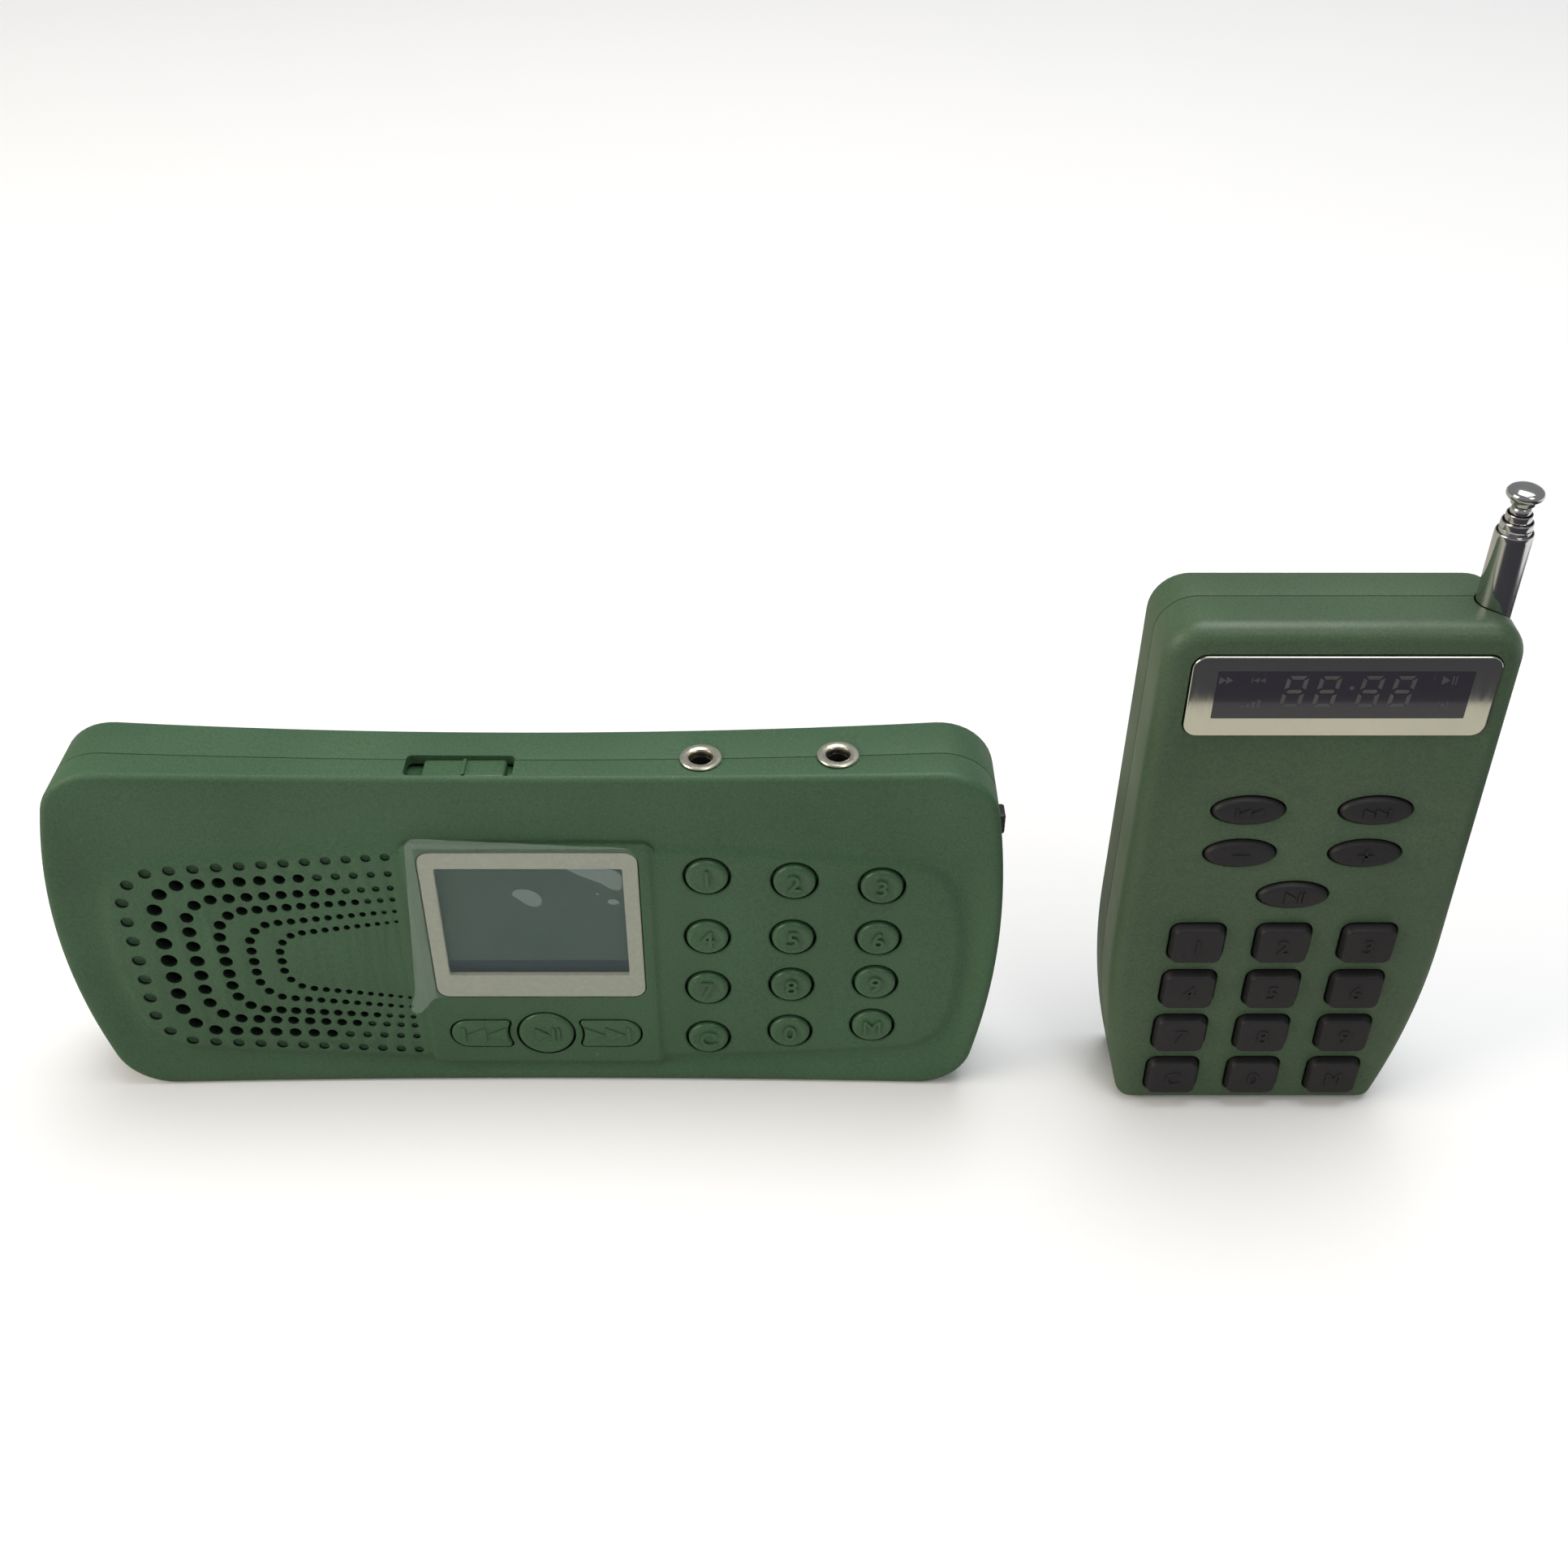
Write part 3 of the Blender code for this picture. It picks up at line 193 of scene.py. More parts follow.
def moulded(name, colour, roughness, spread=0.1, grain=0.3, **constants):
    """Injection-moulded plastic: spark-eroded grain, faint flow marks, a little dust and handling shine."""
    look = Look(name, colour, roughness, **constants)
    dark = tuple(c * (1 - spread) for c in colour)
    light = tuple(c * (1 + spread) + 0.002 for c in colour)
    broad = look.ramp(look.noise(28, 2), (0.3, dark), (0.7, light))
    fine = look.ramp(look.noise(3200, 2, roughness=0.65), (0.28, 0.78), (0.72, 1.22))
    tone = look.mixed(1.0, broad, fine, "MULTIPLY")
    specks = look.ramp(look.noise(420, 4, roughness=0.7), (0.735, 0.0), (0.8, 1.0))
    look.colour_from(look.mixed(specks, tone, tuple(min(1, c * 2.2 + 0.05) for c in colour)))
    look.rough_from(look.noise(60, 4), roughness - 0.06, roughness + 0.08)
    look.bump(look.noise(1900, 2), grain, 0.00006)
    look.bump(look.noise(350, 2), grain * 0.35, 0.00008)
    return look.material


def plated(name, colour, roughness, stretch=(1, 1, 1), scratch=0.02, wave=0.03):
    look = Look(name, colour, roughness, metallic=1.0)
    marks = look.noise(700, 3, stretch)
    look.rough_from(marks, max(0.02, roughness - scratch), roughness + scratch)
    look.blotched(look.noise(90, 3), tuple(c * 0.93 for c in colour), colour)
    if wave:
        look.bump(marks, wave, 0.00002)
    return look.material


def layered(name, colour, roughness, tones=None, bump=None, **constants):
    """A look with a drift between tones, (scale, detail, low, high), and a bump,
    (scale, detail, strength, distance)."""
    look = Look(name, colour, roughness, **constants)
    if tones:
        look.blotched(look.noise(*tones[:2]), *tones[2:])
    if bump:
        look.bump(look.noise(*bump[:2]), *bump[2:])
    return look.material


def screen_looks():
    """The printed border, the display behind it, and the protective film with its edge and its air."""
    border = (1500, 2, (0.31, 0.32, 0.25), (0.36, 0.37, 0.29))
    panel, grain = (45, 3, (0.04, 0.07, 0.063), (0.048, 0.08, 0.065)), (3000, 1, 0.04, 0.00001)
    dim, sheen = {"Specular_IOR_Level": 0.1}, {"Specular_IOR_Level": 0.3}
    film = Look("protective_film", (0.48, 0.56, 0.52), 0.36, Alpha=0.05, **sheen)
    film.bump(film.noise(90, 3, distortion=0.6), 0.035, 0.0002)
    film.rough_from(film.noise(240, 3), 0.26, 0.42)
    ripples = (300, 3, 0.07, 0.0002)
    return {
        "frame": layered("printed_frame", (0.335, 0.345, 0.27), 0.38, border, (900, 2, 0.08, 0.00002)),
        "panel": layered("display_panel", (0.044, 0.075, 0.064), 0.4, panel, grain, **dim),
        "ledge": layered("display_ledge", (0.013, 0.028, 0.046), 0.4, None, (1200, 1, 0.03, 0.00001), **dim),
        "film": film.material,
        "bubble": layered("film_bubble", (0.55, 0.64, 0.62), 0.32, None, ripples, Alpha=0.13, **sheen),
        "tab": layered("film_tab", (0.52, 0.62, 0.54), 0.34, None, (300, 3, 0.1, 0.0002), Alpha=0.12),
    }


def window_looks():
    """The remote's dark window with fine scratches, its unlit figures and its small marks."""
    dark, scratched = (0.03, 0.027, 0.036), (0.06, 0.058, 0.066)
    glass = Look("dark_window", dark, 0.06, Coat_Weight=0.6, Coat_Roughness=0.03)
    scratches = glass.ramp(glass.noise(260, 3, (3.0, 3.0, 0.25), 1.5), (0.7, 0.0), (0.74, 1.0))
    glass.colour_from(glass.mixed(scratches, dark, scratched))
    digits = (300, 2, (0.058, 0.061, 0.059), (0.082, 0.085, 0.082))
    marks = (300, 2, (0.054, 0.052, 0.058), (0.072, 0.07, 0.076))
    return {
        "window": glass.material,
        "segments": layered("display_segments", (0.07, 0.073, 0.07), 0.25, digits),
        "icons": layered("display_icons", (0.062, 0.06, 0.066), 0.25, marks),
    }


def inner_looks():
    """What shows through the openings: speaker cloth and cone, boards and batteries."""
    # The cloth is near-black: a real cloth, darkened further as painted shade of the cavity behind the
    # grille.
    cloth = Look("speaker_cloth", (0.006, 0.006, 0.006), 0.95)
    weave = cloth.node("TexWave", Vector=cloth.place, Scale=900).outputs["Fac"]
    cloth.colour_from(cloth.ramp(weave, (0.2, 0.002), (0.8, 0.006)))
    cloth.bump(weave, 0.5, 0.0001)
    board = Look("solder_mask", (0.02, 0.13, 0.06), 0.35, Coat_Weight=0.4, Coat_Roughness=0.2)
    copper = board.noise(260, 0, (1, 1, 0.2))
    board.colour_from(board.ramp(copper, (0.49, (0.016, 0.11, 0.05)), (0.51, (0.03, 0.18, 0.085))))
    wrap = (60, 3, (0.04, 0.068, 0.135), (0.052, 0.084, 0.165))
    coat = {"Coat_Weight": 0.3, "Coat_Roughness": 0.2}
    return {
        "cloth": cloth.material,
        "board": board.material,
        "wrap": layered("battery_wrap", (0.045, 0.075, 0.15), 0.32, wrap, (120, 2, 0.15, 0.0002), **coat),
        "paper": layered("paper_cone", (0.016, 0.016, 0.016), 0.85, None, (1400, 3, 0.4, 0.0001)),
    }


def build_looks():
    rubber, rubber_painted_shade, black = (0.0125, 0.011, 0.0148), (0.01, 0.009, 0.0105), (0.012, 0.012, 0.0125)
    green, key_green = (0.045, 0.103, 0.049), (0.046, 0.104, 0.05)
    shade, remote_green = (0.0085, 0.017, 0.0095), (0.048, 0.089, 0.043)
    return {
        "green": moulded("caller_green", green, 0.52, Specular_IOR_Level=0.4),
        "green_keys": moulded("caller_green_keys", key_green, 0.33, Specular_IOR_Level=0.4),
        # Painted shade: a darker copy of the casing green for the insides of holes and recesses.
        "shade": moulded("caller_green_painted_shade", shade, 0.6, Specular_IOR_Level=0.2),
        "remote_green": moulded("remote_green", remote_green, 0.45, Specular_IOR_Level=0.5),
        "rubber": moulded("black_rubber", rubber, 0.6, 0.12, 0.45),
        # The key sides: the same rubber painted darker, as painted shade.
        "rubber_painted_shade": moulded("black_rubber_painted_shade", rubber_painted_shade, 0.55, 0.1, 0.3),
        "black": moulded("black_plastic", black, 0.42),
        "nickel": plated("nickel_plate", (0.76, 0.73, 0.6), 0.28, scratch=0.05),
        "chrome": plated("chrome_plate", (0.64, 0.63, 0.63), 0.13, (1, 1, 0.03), 0.03),
        "silver": plated("silvered_lens", (0.86, 0.85, 0.78), 0.06, (3, 3, 0.3), 0.015, 0.0),
        "steel": plated("zinc_steel", (0.5, 0.5, 0.49), 0.34, scratch=0.06),
        **screen_looks(),
        **window_looks(),
        **inner_looks(),
    }


LOOKS = build_looks()


# ---- outlines, in the XZ plane


class Side:
    """A shallow curve from start to end that stands bow outside its chord, going anticlockwise."""

    def __init__(self, start, end, bow=0.0):
        self.start = Vector(start)
        self.way = Vector(end) - self.start
        self.bow = Vector((self.way.y, -self.way.x)).normalized() * bow

    def point(self, t, inset):
        along = self.way + self.bow * (4 * (1 - 2 * t))
        inward = Vector((-along.y, along.x)).normalized()
        return self.start + self.way * t + self.bow * (4 * t * (1 - t)) + inward * inset


def corner_places(before, after, inset):
    """Where two sides, both moved inward by inset, cross: a share of the way along each."""
    t, u, step = 0.95, 0.05, 1e-4
    for _ in range(12):
        miss = before.point(t, inset) - after.point(u, inset)
        by_t = (before.point(t + step, inset) - before.point(t, inset)) / step
        by_u = (after.point(u, inset) - after.point(u + step, inset)) / step
        scale = by_t.x * by_u.y - by_t.y * by_u.x
        t -= (miss.x * by_u.y - miss.y * by_u.x) / scale
        u -= (by_t.x * miss.y - by_t.y * miss.x) / scale
    return t, u


def outline(corners, bows, radii, inset=0.0, side_steps=20, corner_steps=10):
    """The points of a closed outline with bowed sides and rounded corners, moved inward by inset."""
    sides = [Side(*ends) for ends in zip(corners, corners[1:] + corners[:1], bows)]
    places = []
    for i, side in enumerate(sides):
        radius = max(radii[i] - inset, 0.0002) if radii[i] else 0.0
        places.append((radius, *corner_places(sides[i - 1], side, inset + radius)))
    points = []
    for i, side in enumerate(sides):
        radius, last, first = places[i]
        until = places[(i + 1) % len(sides)][1]
        if radius:
            centre = sides[i - 1].point(last, inset + radius)
            spokes = sides[i - 1].point(last, inset) - centre, side.point(first, inset) - centre
            turn = spokes[0].angle_signed(spokes[1])
            for k in range(corner_steps):
                spoke = spokes[0].copy()
                spoke.rotate(Matrix.Rotation(-turn * k / corner_steps, 2))
                points.append(centre + spoke)
        for k in range(side_steps):
            points.append(side.point(first + (until - first) * k / side_steps, inset))
    return points


def caller_outline(inset=0.0):
    corners = [(FOOT_X[0], 0), (FOOT_X[1], 0), (TOP_X[1], HEIGHT), (TOP_X[0], HEIGHT)]
    return outline(corners, (0, SIDE_BOWS[1], -TOP_SAG, SIDE_BOWS[0]), [CORNER_RADIUS] * 4, inset)


def plateau_outline(inset=0.0):
    left, right, (low, high) = -PLATEAU_X, PLATEAU_X, PLATEAU_Z
    corners = [(left, low), (right, low), (right, high), (left, high)]
    return outline(corners, PLATEAU_BOWS, [PLATEAU_CORNER] * 4, inset)


def remote_outline(inset=0.0):
    halves = ((R_FOOT, 0), (R_WIDE, R_KNEE), (R_TOP, R_HEIGHT))
    right = [(R_MIDDLE + half, z) for half, z in halves]
    left = [(R_MIDDLE - half, z) for half, z in halves]
    bow = (R_WIDE - R_FOOT) / 4
    corners = [left[0], *right, left[2], left[1]]
    return outline(corners, (0, bow, 0, 0, 0, bow), R_CORNERS, inset, 14, 10)


def box_outline(centre, size, radius, inset=0.0, corner_steps=8):
    x, z = size[0] / 2, size[1] / 2
    corners = [Vector(centre) + Vector(p) for p in ((-x, -z), (x, -z), (x, z), (-x, z))]
    return outline(corners, [0] * 4, [radius] * 4, inset, 1, corner_steps)


def ellipse_outline(centre, size, inset=0.0, steps=48):
    half = Vector((size[0] / 2 - inset, size[1] / 2 - inset))
    turns = [2 * math.pi * k / steps for k in range(steps)]
    return [Vector(centre) + Vector((half.x * math.cos(a), half.y * math.sin(a))) for a in turns]


def transport_outline(side, inset=0.0):
    """A key beside the play key: hollow towards it, and rounded at its far end."""
    near, far, half, hollow = 0.0058, 0.0165, 0.0031, -0.0009
    corners = [(near, -half), (far, -half), (far, half), (near, half)]
    points = outline(corners, (0, 0, 0, hollow), (0.0006, 0.003, 0.003, 0.0006), inset, 6, 8)
    if side < 0:
        points = [Vector((-p.x, p.y)) for p in reversed(points)]
    return [p + Vector((0, TRANSPORT_Z)) for p in points]


# ---- solids


def at_depth(points, y):
    return [Vector((p.x, y, p.y)) for p in points]


def between(a, b, t):
    return [p.lerp(q, t) for p, q in zip(a, b)]


def ease(t):
    return t * t * (3 - 2 * t)


def mm(*pairs):
    return [(a * MM, b * MM) for a, b in pairs]


def quarter(steps):
    """Pairs from (1, 0) to (0, 1) along a quarter round, for an inset and a depth in radii."""
    turns = [math.pi / 2 * k / steps for k in range(steps + 1)]
    return [(1 - math.sin(a), 1 - math.cos(a)) for a in turns]


def joined_faces(shape, rings):
    for one, two in rings:
        for i in range(len(one)):
            shape.faces.new((one[i - 1], one[i], two[i], two[i - 1]))


def loft(loops, ring=False):
    """A solid through the loops, closed at both ends, or from its last loop back to its first."""
    shape = bmesh.new()
    rings = [[shape.verts.new(p) for p in loop] for loop in loops]
    joined_faces(shape, zip(rings, rings[1:] + rings[:1] if ring else rings[1:]))
    if not ring:
        shape.faces.new(rings[0])
        shape.faces.new(rings[-1])
    bmesh.ops.recalc_face_normals(shape, faces=shape.faces)
    return shape


def prism(points, front, back):
    return loft((at_depth(points, front), at_depth(points, back)))


def rounded_edge(points_at, front, radius, steps=4):
    return [at_depth(points_at(radius * inset), front + radius * deep) for inset, deep in quarter(steps)]


def rim_cutter(points_at, surface, back, radius, steps=4):
    """A cutter that leaves a rounded rim where it enters the surface."""
    loops = [at_depth(points_at(-radius), surface - 0.004)]
    loops += rounded_edge(lambda inset: points_at(-inset), surface, radius, steps)
    return loft(loops + [at_depth(points_at(0), back)])


def disc(centre, radius, steps):
    return lambda inset: ellipse_outline(centre, (2 * radius, 2 * radius), inset, steps)


def oval(centre, size, grow=0.0):
    return lambda inset: ellipse_outline(centre, size, inset - grow)


def box(centre, size, radius, grow=0.0):
    return lambda inset: box_outline(centre, size, radius, inset - grow)


def stepped(outline_at, y, steps):
    """Loops of an outline at (inset, depth) steps from y."""
    return [at_depth(outline_at(inset), y + deep) for inset, deep in steps]


def turned(profile, place, along, steps=48):
    """(radius, height) points turned about an axis. The profile is closed, or starts and ends on it."""
    shape = bmesh.new()
    where = Matrix.Translation(place) @ Vector(along).to_track_quat("Z", "Y").to_matrix().to_4x4()
    rings = []
    for radius, height in profile:
        turns = [2 * math.pi * k / steps for k in range(steps if radius else 1)]
        spots = [Vector((radius * math.cos(a), radius * math.sin(a), height)) for a in turns]
        rings.append([shape.verts.new(where @ spot) for spot in spots])
    closed = profile[0][0] > 0
    for one, two in zip(rings, rings[1:] + (rings[:1] if closed else [])):
        for k in range(steps):
            corners = [one[(k - 1) % len(one)], one[k % len(one)], two[k % len(two)], two[(k - 1) % len(two)]]
            corners = list(dict.fromkeys(corners))
            if len(corners) > 2:
                shape.faces.new(corners)
    bmesh.ops.recalc_face_normals(shape, faces=shape.faces)
    return shape


def block(x, y, z, bevel=0.0, segments=3):
    shape = bmesh.new()
    middle = Vector([(a + b) / 2 for a, b in (x, y, z)])
    size = Vector([b - a for a, b in (x, y, z)])
    bmesh.ops.create_cube(shape, size=1, matrix=Matrix.Translation(middle) @ Matrix.Diagonal((*size, 1)))
    if bevel:
        edges = list(shape.edges)
        bmesh.ops.bevel(shape, geom=edges, offset=bevel, segments=segments, profile=0.5, affect="EDGES")
    return shape


def merged(*shapes, numbers=None):
    """One bmesh from several; numbers gives each its material slot."""
    whole = bmesh.new()
    for i, shape in enumerate(shapes):
        if numbers:
            for face in shape.faces:
                face.material_index = numbers[i]
        mesh = bpy.data.meshes.new("part")
        shape.to_mesh(mesh)
        shape.free()
        whole.from_mesh(mesh)
        bpy.data.meshes.remove(mesh)
    return whole


def moved(shape, by):
    bmesh.ops.translate(shape, verts=shape.verts, vec=by)
    return shape


def sliced(shape, places, normal):
    """More edges, where planes across the normal cut the shape."""
    for place in places:
        everything = list(shape.verts) + list(shape.edges) + list(shape.faces)
        bmesh.ops.bisect_plane(shape, geom=everything, dist=1e-7, plane_co=place, plane_no=normal)


def lettering(mark, size, thickness, bold=0.0):
    """A raised mark made from the built-in typeface, centred on the origin and facing -Y."""
    text = bpy.data.curves.new("mark", "FONT")
    text.body, text.size, text.extrude, text.offset = mark, size, thickness / 2, bold
    text.align_x, text.align_y, text.resolution_u = "CENTER", "CENTER", 4
    holder = bpy.data.objects.new("mark", text)
    bpy.context.scene.collection.objects.link(holder)
    shape = bmesh.new()
    shape.from_mesh(evaluated_mesh(holder))
    upright = Matrix.Rotation(math.pi / 2, 3, "X")
    bmesh.ops.rotate(shape, verts=shape.verts, cent=(0, 0, 0), matrix=upright)
    low = [min(v.co[i] for v in shape.verts) for i in range(3)]
    high = [max(v.co[i] for v in shape.verts) for i in range(3)]
    bpy.data.objects.remove(holder)
    return moved(shape, [-(a + b) / 2 for a, b in zip(low, high)])


def flat_shapes(polygons, front, thickness):
    """Raised flat shapes from lists of (x, z) corners."""
    return merged(*[prism([Vector(p) for p in polygon], front, front + thickness) for polygon in polygons])


def triangle(x, half, width):
    return ((x, -half), (x + width, 0), (x, half))


def bar(x, half, width):
    return ((x, -half), (x + width, -half), (x + width, half), (x, half))


ICONS = {  # generic transport and volume marks, about 2 to 3 units wide
    "next": (triangle(-1.6, 0.68, 1.35), triangle(-0.15, 0.68, 1.35), bar(1.3, 0.68, 0.28)),
    "play": (triangle(-1.1, 0.9, 1.4), bar(0.6, 0.9, 0.28), bar(1.15, 0.9, 0.28)),
    "volume_down": (bar(-1.0, 0.16, 2.0),),
    "volume_up": (bar(-1.0, 0.16, 2.0), bar(-0.16, 1.0, 0.32)),
    "forward": (triangle(-1.2, 0.8, 1.2), triangle(0.0, 0.8, 1.2)),
}


def icon(kind, scale, centre=(0, 0)):
    if kind == "previous":
        drawing = [[(-x, z) for x, z in reversed(shape)] for shape in ICONS["next"]]
    else:
        drawing = ICONS[kind]
    return placed([[(x * scale, z * scale) for x, z in shape] for shape in drawing], centre)


def placed(polygons, centre):
    return [[(x + centre[0], z + centre[1]) for x, z in shape] for shape in polygons]


def smooth_ring(points, rounds=3):
    """Chaikin's corner cutting."""
    for _ in range(rounds):
        cut = []
        for a, b in zip(points, points[1:] + points[:1]):
            cut += [a.lerp(b, 0.25), a.lerp(b, 0.75)]
        points = cut
    return points


# ---- objects


def evaluated_mesh(obj):
    graph = bpy.context.evaluated_depsgraph_get()
    return bpy.data.meshes.new_from_object(obj.evaluated_get(graph))


def as_object(name, shape, *looks):
    mesh = bpy.data.meshes.new(name)
    shape.to_mesh(mesh)
    shape.free()
    for look in looks:
        mesh.materials.append(LOOKS[look])
    obj = bpy.data.objects.new(name, mesh)
    bpy.context.scene.collection.objects.link(obj)
    return obj


def carve(obj, *cutters, operation="DIFFERENCE"):
    """Apply exact Booleans with each bmesh in turn, and drop the cutters."""
    for shape in cutters:
        helper = as_object("cutter", shape)
        modifier = obj.modifiers.new("carve", "BOOLEAN")
        modifier.operation, modifier.object, modifier.solver = operation, helper, "EXACT"
        mesh = evaluated_mesh(obj)
        obj.modifiers.clear()
        old, obj.data = obj.data, mesh
        bpy.data.meshes.remove(old)
        bpy.data.objects.remove(helper)


def give(obj, body, slot, *nodes, angle=32):
    """Shade the piece, tie it to its body and let it stand for its CAD nodes."""
    obj.data.shade_smooth()
    obj.data.set_sharp_from_angle(angle=math.radians(angle))
    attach(obj, body)
    if nodes:
        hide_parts(*nodes)


def dished(x, y):
    """Both faces of the caller sink towards the middle of its length."""
    depth = max(0.0, DISH * (1 - (x / HALF_WIDTH) ** 2))
    if y < PARTING_Y:
        return y + depth * (PARTING_Y - y) / (PARTING_Y - FRONT_Y)
    return y - depth * (y - PARTING_Y) / (REAR_Y - PARTING_Y)


def dish(obj, pitch=0.003):
    shape = bmesh.new()
    shape.from_mesh(obj.data)
    count = int(HALF_WIDTH / pitch)
    sliced(shape, [(k * pitch, 0, 0) for k in range(-count, count + 1)], (1, 0, 0))
    for point in shape.verts:
        point.co.y = dished(point.co.x, point.co.y)
    shape.to_mesh(obj.data)
    shape.free()


def top_z(x):
    return HEIGHT - TOP_SAG * (1 - (x / CORNER_X) ** 2)


# ---- shells and doors


def shell_edge(outline_at, parting, side, wall, inside):
    """The hidden inside and the parted rim of a half shell; side is -1 in front and 1 behind."""
    rim = mm((wall / MM, 0.01), (0.6, 0.01), (0.52, 0.07), (0.1, 0.09), (0.03, 0.14), (0, 0.28))
    loops = [at_depth(outline_at(wall), inside)]
    return loops + [at_depth(outline_at(inset), parting + side * deep) for inset, deep in rim]


def fillet_loops(outline_at, face, side, radius, steps=7):
    return [at_depth(outline_at(radius * deep), face - side * radius * back) for back, deep in quarter(steps)]


def screw_boss(shell, centre, start, end):
    carve(shell, prism(ellipse_outline(centre, (0.0064, 0.0064), 0, 32), start, end), operation="UNION")


def screw_hole(shell, centre, seat, rear):
    levels = (
        (-0.003, SCREW_SHANK), (seat, SCREW_SHANK), (seat + 0.00001, SCREW_HEAD),
        (rear - 0.0002, SCREW_HEAD), (rear, SCREW_HEAD + 0.0002), (rear + 0.001, SCREW_HEAD + 0.0002),
    )
    carve(shell, loft([at_depth(disc(centre, radius, 32)(0), y) for y, radius in levels]))


def add_bay(shell, centre, size, floor, inside, rear):
    """A battery bay: a box behind the rear wall, its hollow, and the seat of its door."""
    around, hollow, seat = [(size[0] + more, size[1] + more) for more in (0.0026, 0.0006, 0.006)]
    past = rear + 0.002
    carve(shell, prism(box_outline(centre, around, 0.002), floor, inside), operation="UNION")
    carve(shell, prism(box_outline(centre, hollow, 0.0015), floor + 0.0008, past))
    carve(shell, prism(box_outline(centre, seat, 0.0023), rear - 0.0014, past))


def battery_door(name, centre, size, rear, look):
    """A lid with a rounded rim, and ribs for the thumb that narrow to an arrow."""
    outline_at = box(centre, (size[0] + 0.0054, size[1] + 0.0054), 0.002)
    loops = [at_depth(outline_at(0), rear - 0.0011)]
    lid = as_object(name, loft(loops + fillet_loops(outline_at, rear, 1, 0.0003, 4)), look)
    x, z = centre[0], centre[1] - size[1] / 2 + 0.0055
    ribs = []
    for k in range(4):
        rib = (0.0125 - k * 0.0018, 0.00065)
        ribs.append(prism(box_outline((x, z + k * 0.0013), rib, 0.0003, 0, 4), rear - 0.00045, rear + 0.001))
    carve(lid, merged(*ribs))
    return lid


def screen_ring(outer_at, inner, front, back, radius, steps):
    """A flat border: a rounded outer edge, and a straight inner edge."""
    loops = [at_depth(inner, back), at_depth(inner, front), at_depth(outer_at(radius + 0.00008), front)]
    loops += rounded_edge(outer_at, front, radius, steps)
    return loft(loops + [at_depth(outer_at(0), back)], ring=True)


def screw(name, place, body, node, length=0.0095):
    """A pan head with a cross recess, and its shank."""
    profile = [(0, 0)] + [(0.0021 * (1 - s), -0.0009 * c) for s, c in quarter(7)[1:]]
    profile += [*mm((2.1, -1.2), (1, -1.25)), (0.001, -length), (0, -length)]
    piece = as_object(name, turned(profile, place, REAR_WAY, 40), "steel")
    x, head, z = place
    for wide, high in ((0.0012, 0.00024), (0.00024, 0.0012)):
        carve(piece, block((x - wide, x + wide), (head - 0.0007, head + 0.001), (z - high, z + high)))
    give(piece, body, "steel", node)


# ---- caller


def grille_holes():
    """(x, z, radius, blind) of each hole in the grille."""
    found = []
    for apex, lift, high, slope, corner, steps, blind, big, small in GRILLE:
        corner_height = high - slope * (GRILLE_RIGHT_X - apex)
        straight = GRILLE_RIGHT_X - apex - corner
        bend = corner * math.pi / 2
        whole = straight + bend + corner_height - corner
        for i in range(steps + 1):
            share = i / steps
            along = whole * (share + GRILLE_SPREAD * (share**2 - share))
            if along < straight:
                x, z = GRILLE_RIGHT_X - along, high - slope * along
            elif along < straight + bend:
                angle = (along - straight) / corner
                x = apex + corner * (1 - math.sin(angle))
                z = corner_height - corner * (1 - math.cos(angle)) + slope * (x - apex)
            else:
                x, z = apex, corner_height - corner - (along - straight - bend)
            radius = small + (big - small) * share
            for height in (z, -z) if i < steps else (z,):
                found.append((x, GRILLE_Z + lift + height, radius, i < blind))
    return found


def key_places():
    """(name, mark, x, z) of the twelve keys; the columns lean and the rows fan a little."""
    places = []
    middle = KEY_COLUMNS_X[1]
    pitch = KEY_COLUMNS_X[2] - middle
    for i, name in enumerate(KEY_NAMES):
        x, z = KEY_COLUMNS_X[i % 3], KEY_ROWS_Z[i // 3]
        fan = KEY_FAN * (z - KEY_FAN_Z) * (x - middle) / pitch
        places.append((name, KEY_MARKS[i], x - KEY_LEAN * (KEY_ROWS_Z[0] - z), z - fan))
    return places


def caller_front():
    loops = shell_edge(caller_outline, PARTING_Y, -1, WALL, FRONT_INSIDE_Y)
    loops += fillet_loops(caller_outline, FRONT_Y, -1, FRONT_FILLET)
    rim, foot = caller_outline(FRONT_FILLET), plateau_outline()
    for k in range(1, 15):
        y = FRONT_Y + (VALLEY_Y - FRONT_Y) * ease(k / 14)
        loops.append(at_depth(between(rim, foot, k / 14), y))
    for k in range(1, 11):
        y = VALLEY_Y + (PLATEAU_Y - VALLEY_Y) * ease(k / 10)
        loops.append(at_depth(plateau_outline(PLATEAU_SLOPE * k / 10), y))
    shell = as_object("caller_front_casing", loft(loops), "green", "shade")
    carve(shell, raised_panel(), operation="UNION")
    carve(shell, *grille_cutters())
    carve(shell, key_cutters())
    lens = box((0, LENS_Z), LENS_SIZE, 0.0022, 0.00018)
    carve(shell, rim_cutter(lens, CENTRE_Y, CENTRE_Y + 0.0013, 0.0002))
    carve(shell, prism(box_outline((0, LCD_Z), (0.0316, 0.0248), 0.0006), -0.009, WELL_Y))
    shade_recesses(shell)
    dish(shell)
    carve_edge(shell)
    give(shell, "caller", "green_plastic", "caller_front_shell")


def raised_panel():
    """The panel under the screen, which eases up from the plateau."""
    flare, foot = 0.0002, PLATEAU_Y + 0.00004
    loops = [at_depth(box_outline(PANEL_CENTRE, PANEL_SIZE, PANEL_CORNER, -flare), -0.0062)]
    for k in range(9):
        points = box_outline(PANEL_CENTRE, PANEL_SIZE, PANEL_CORNER, 0.001 * k / 8 - flare)
        loops.append(at_depth(points, foot + (CENTRE_Y - foot) * ease(k / 8)))
    return loft(loops)


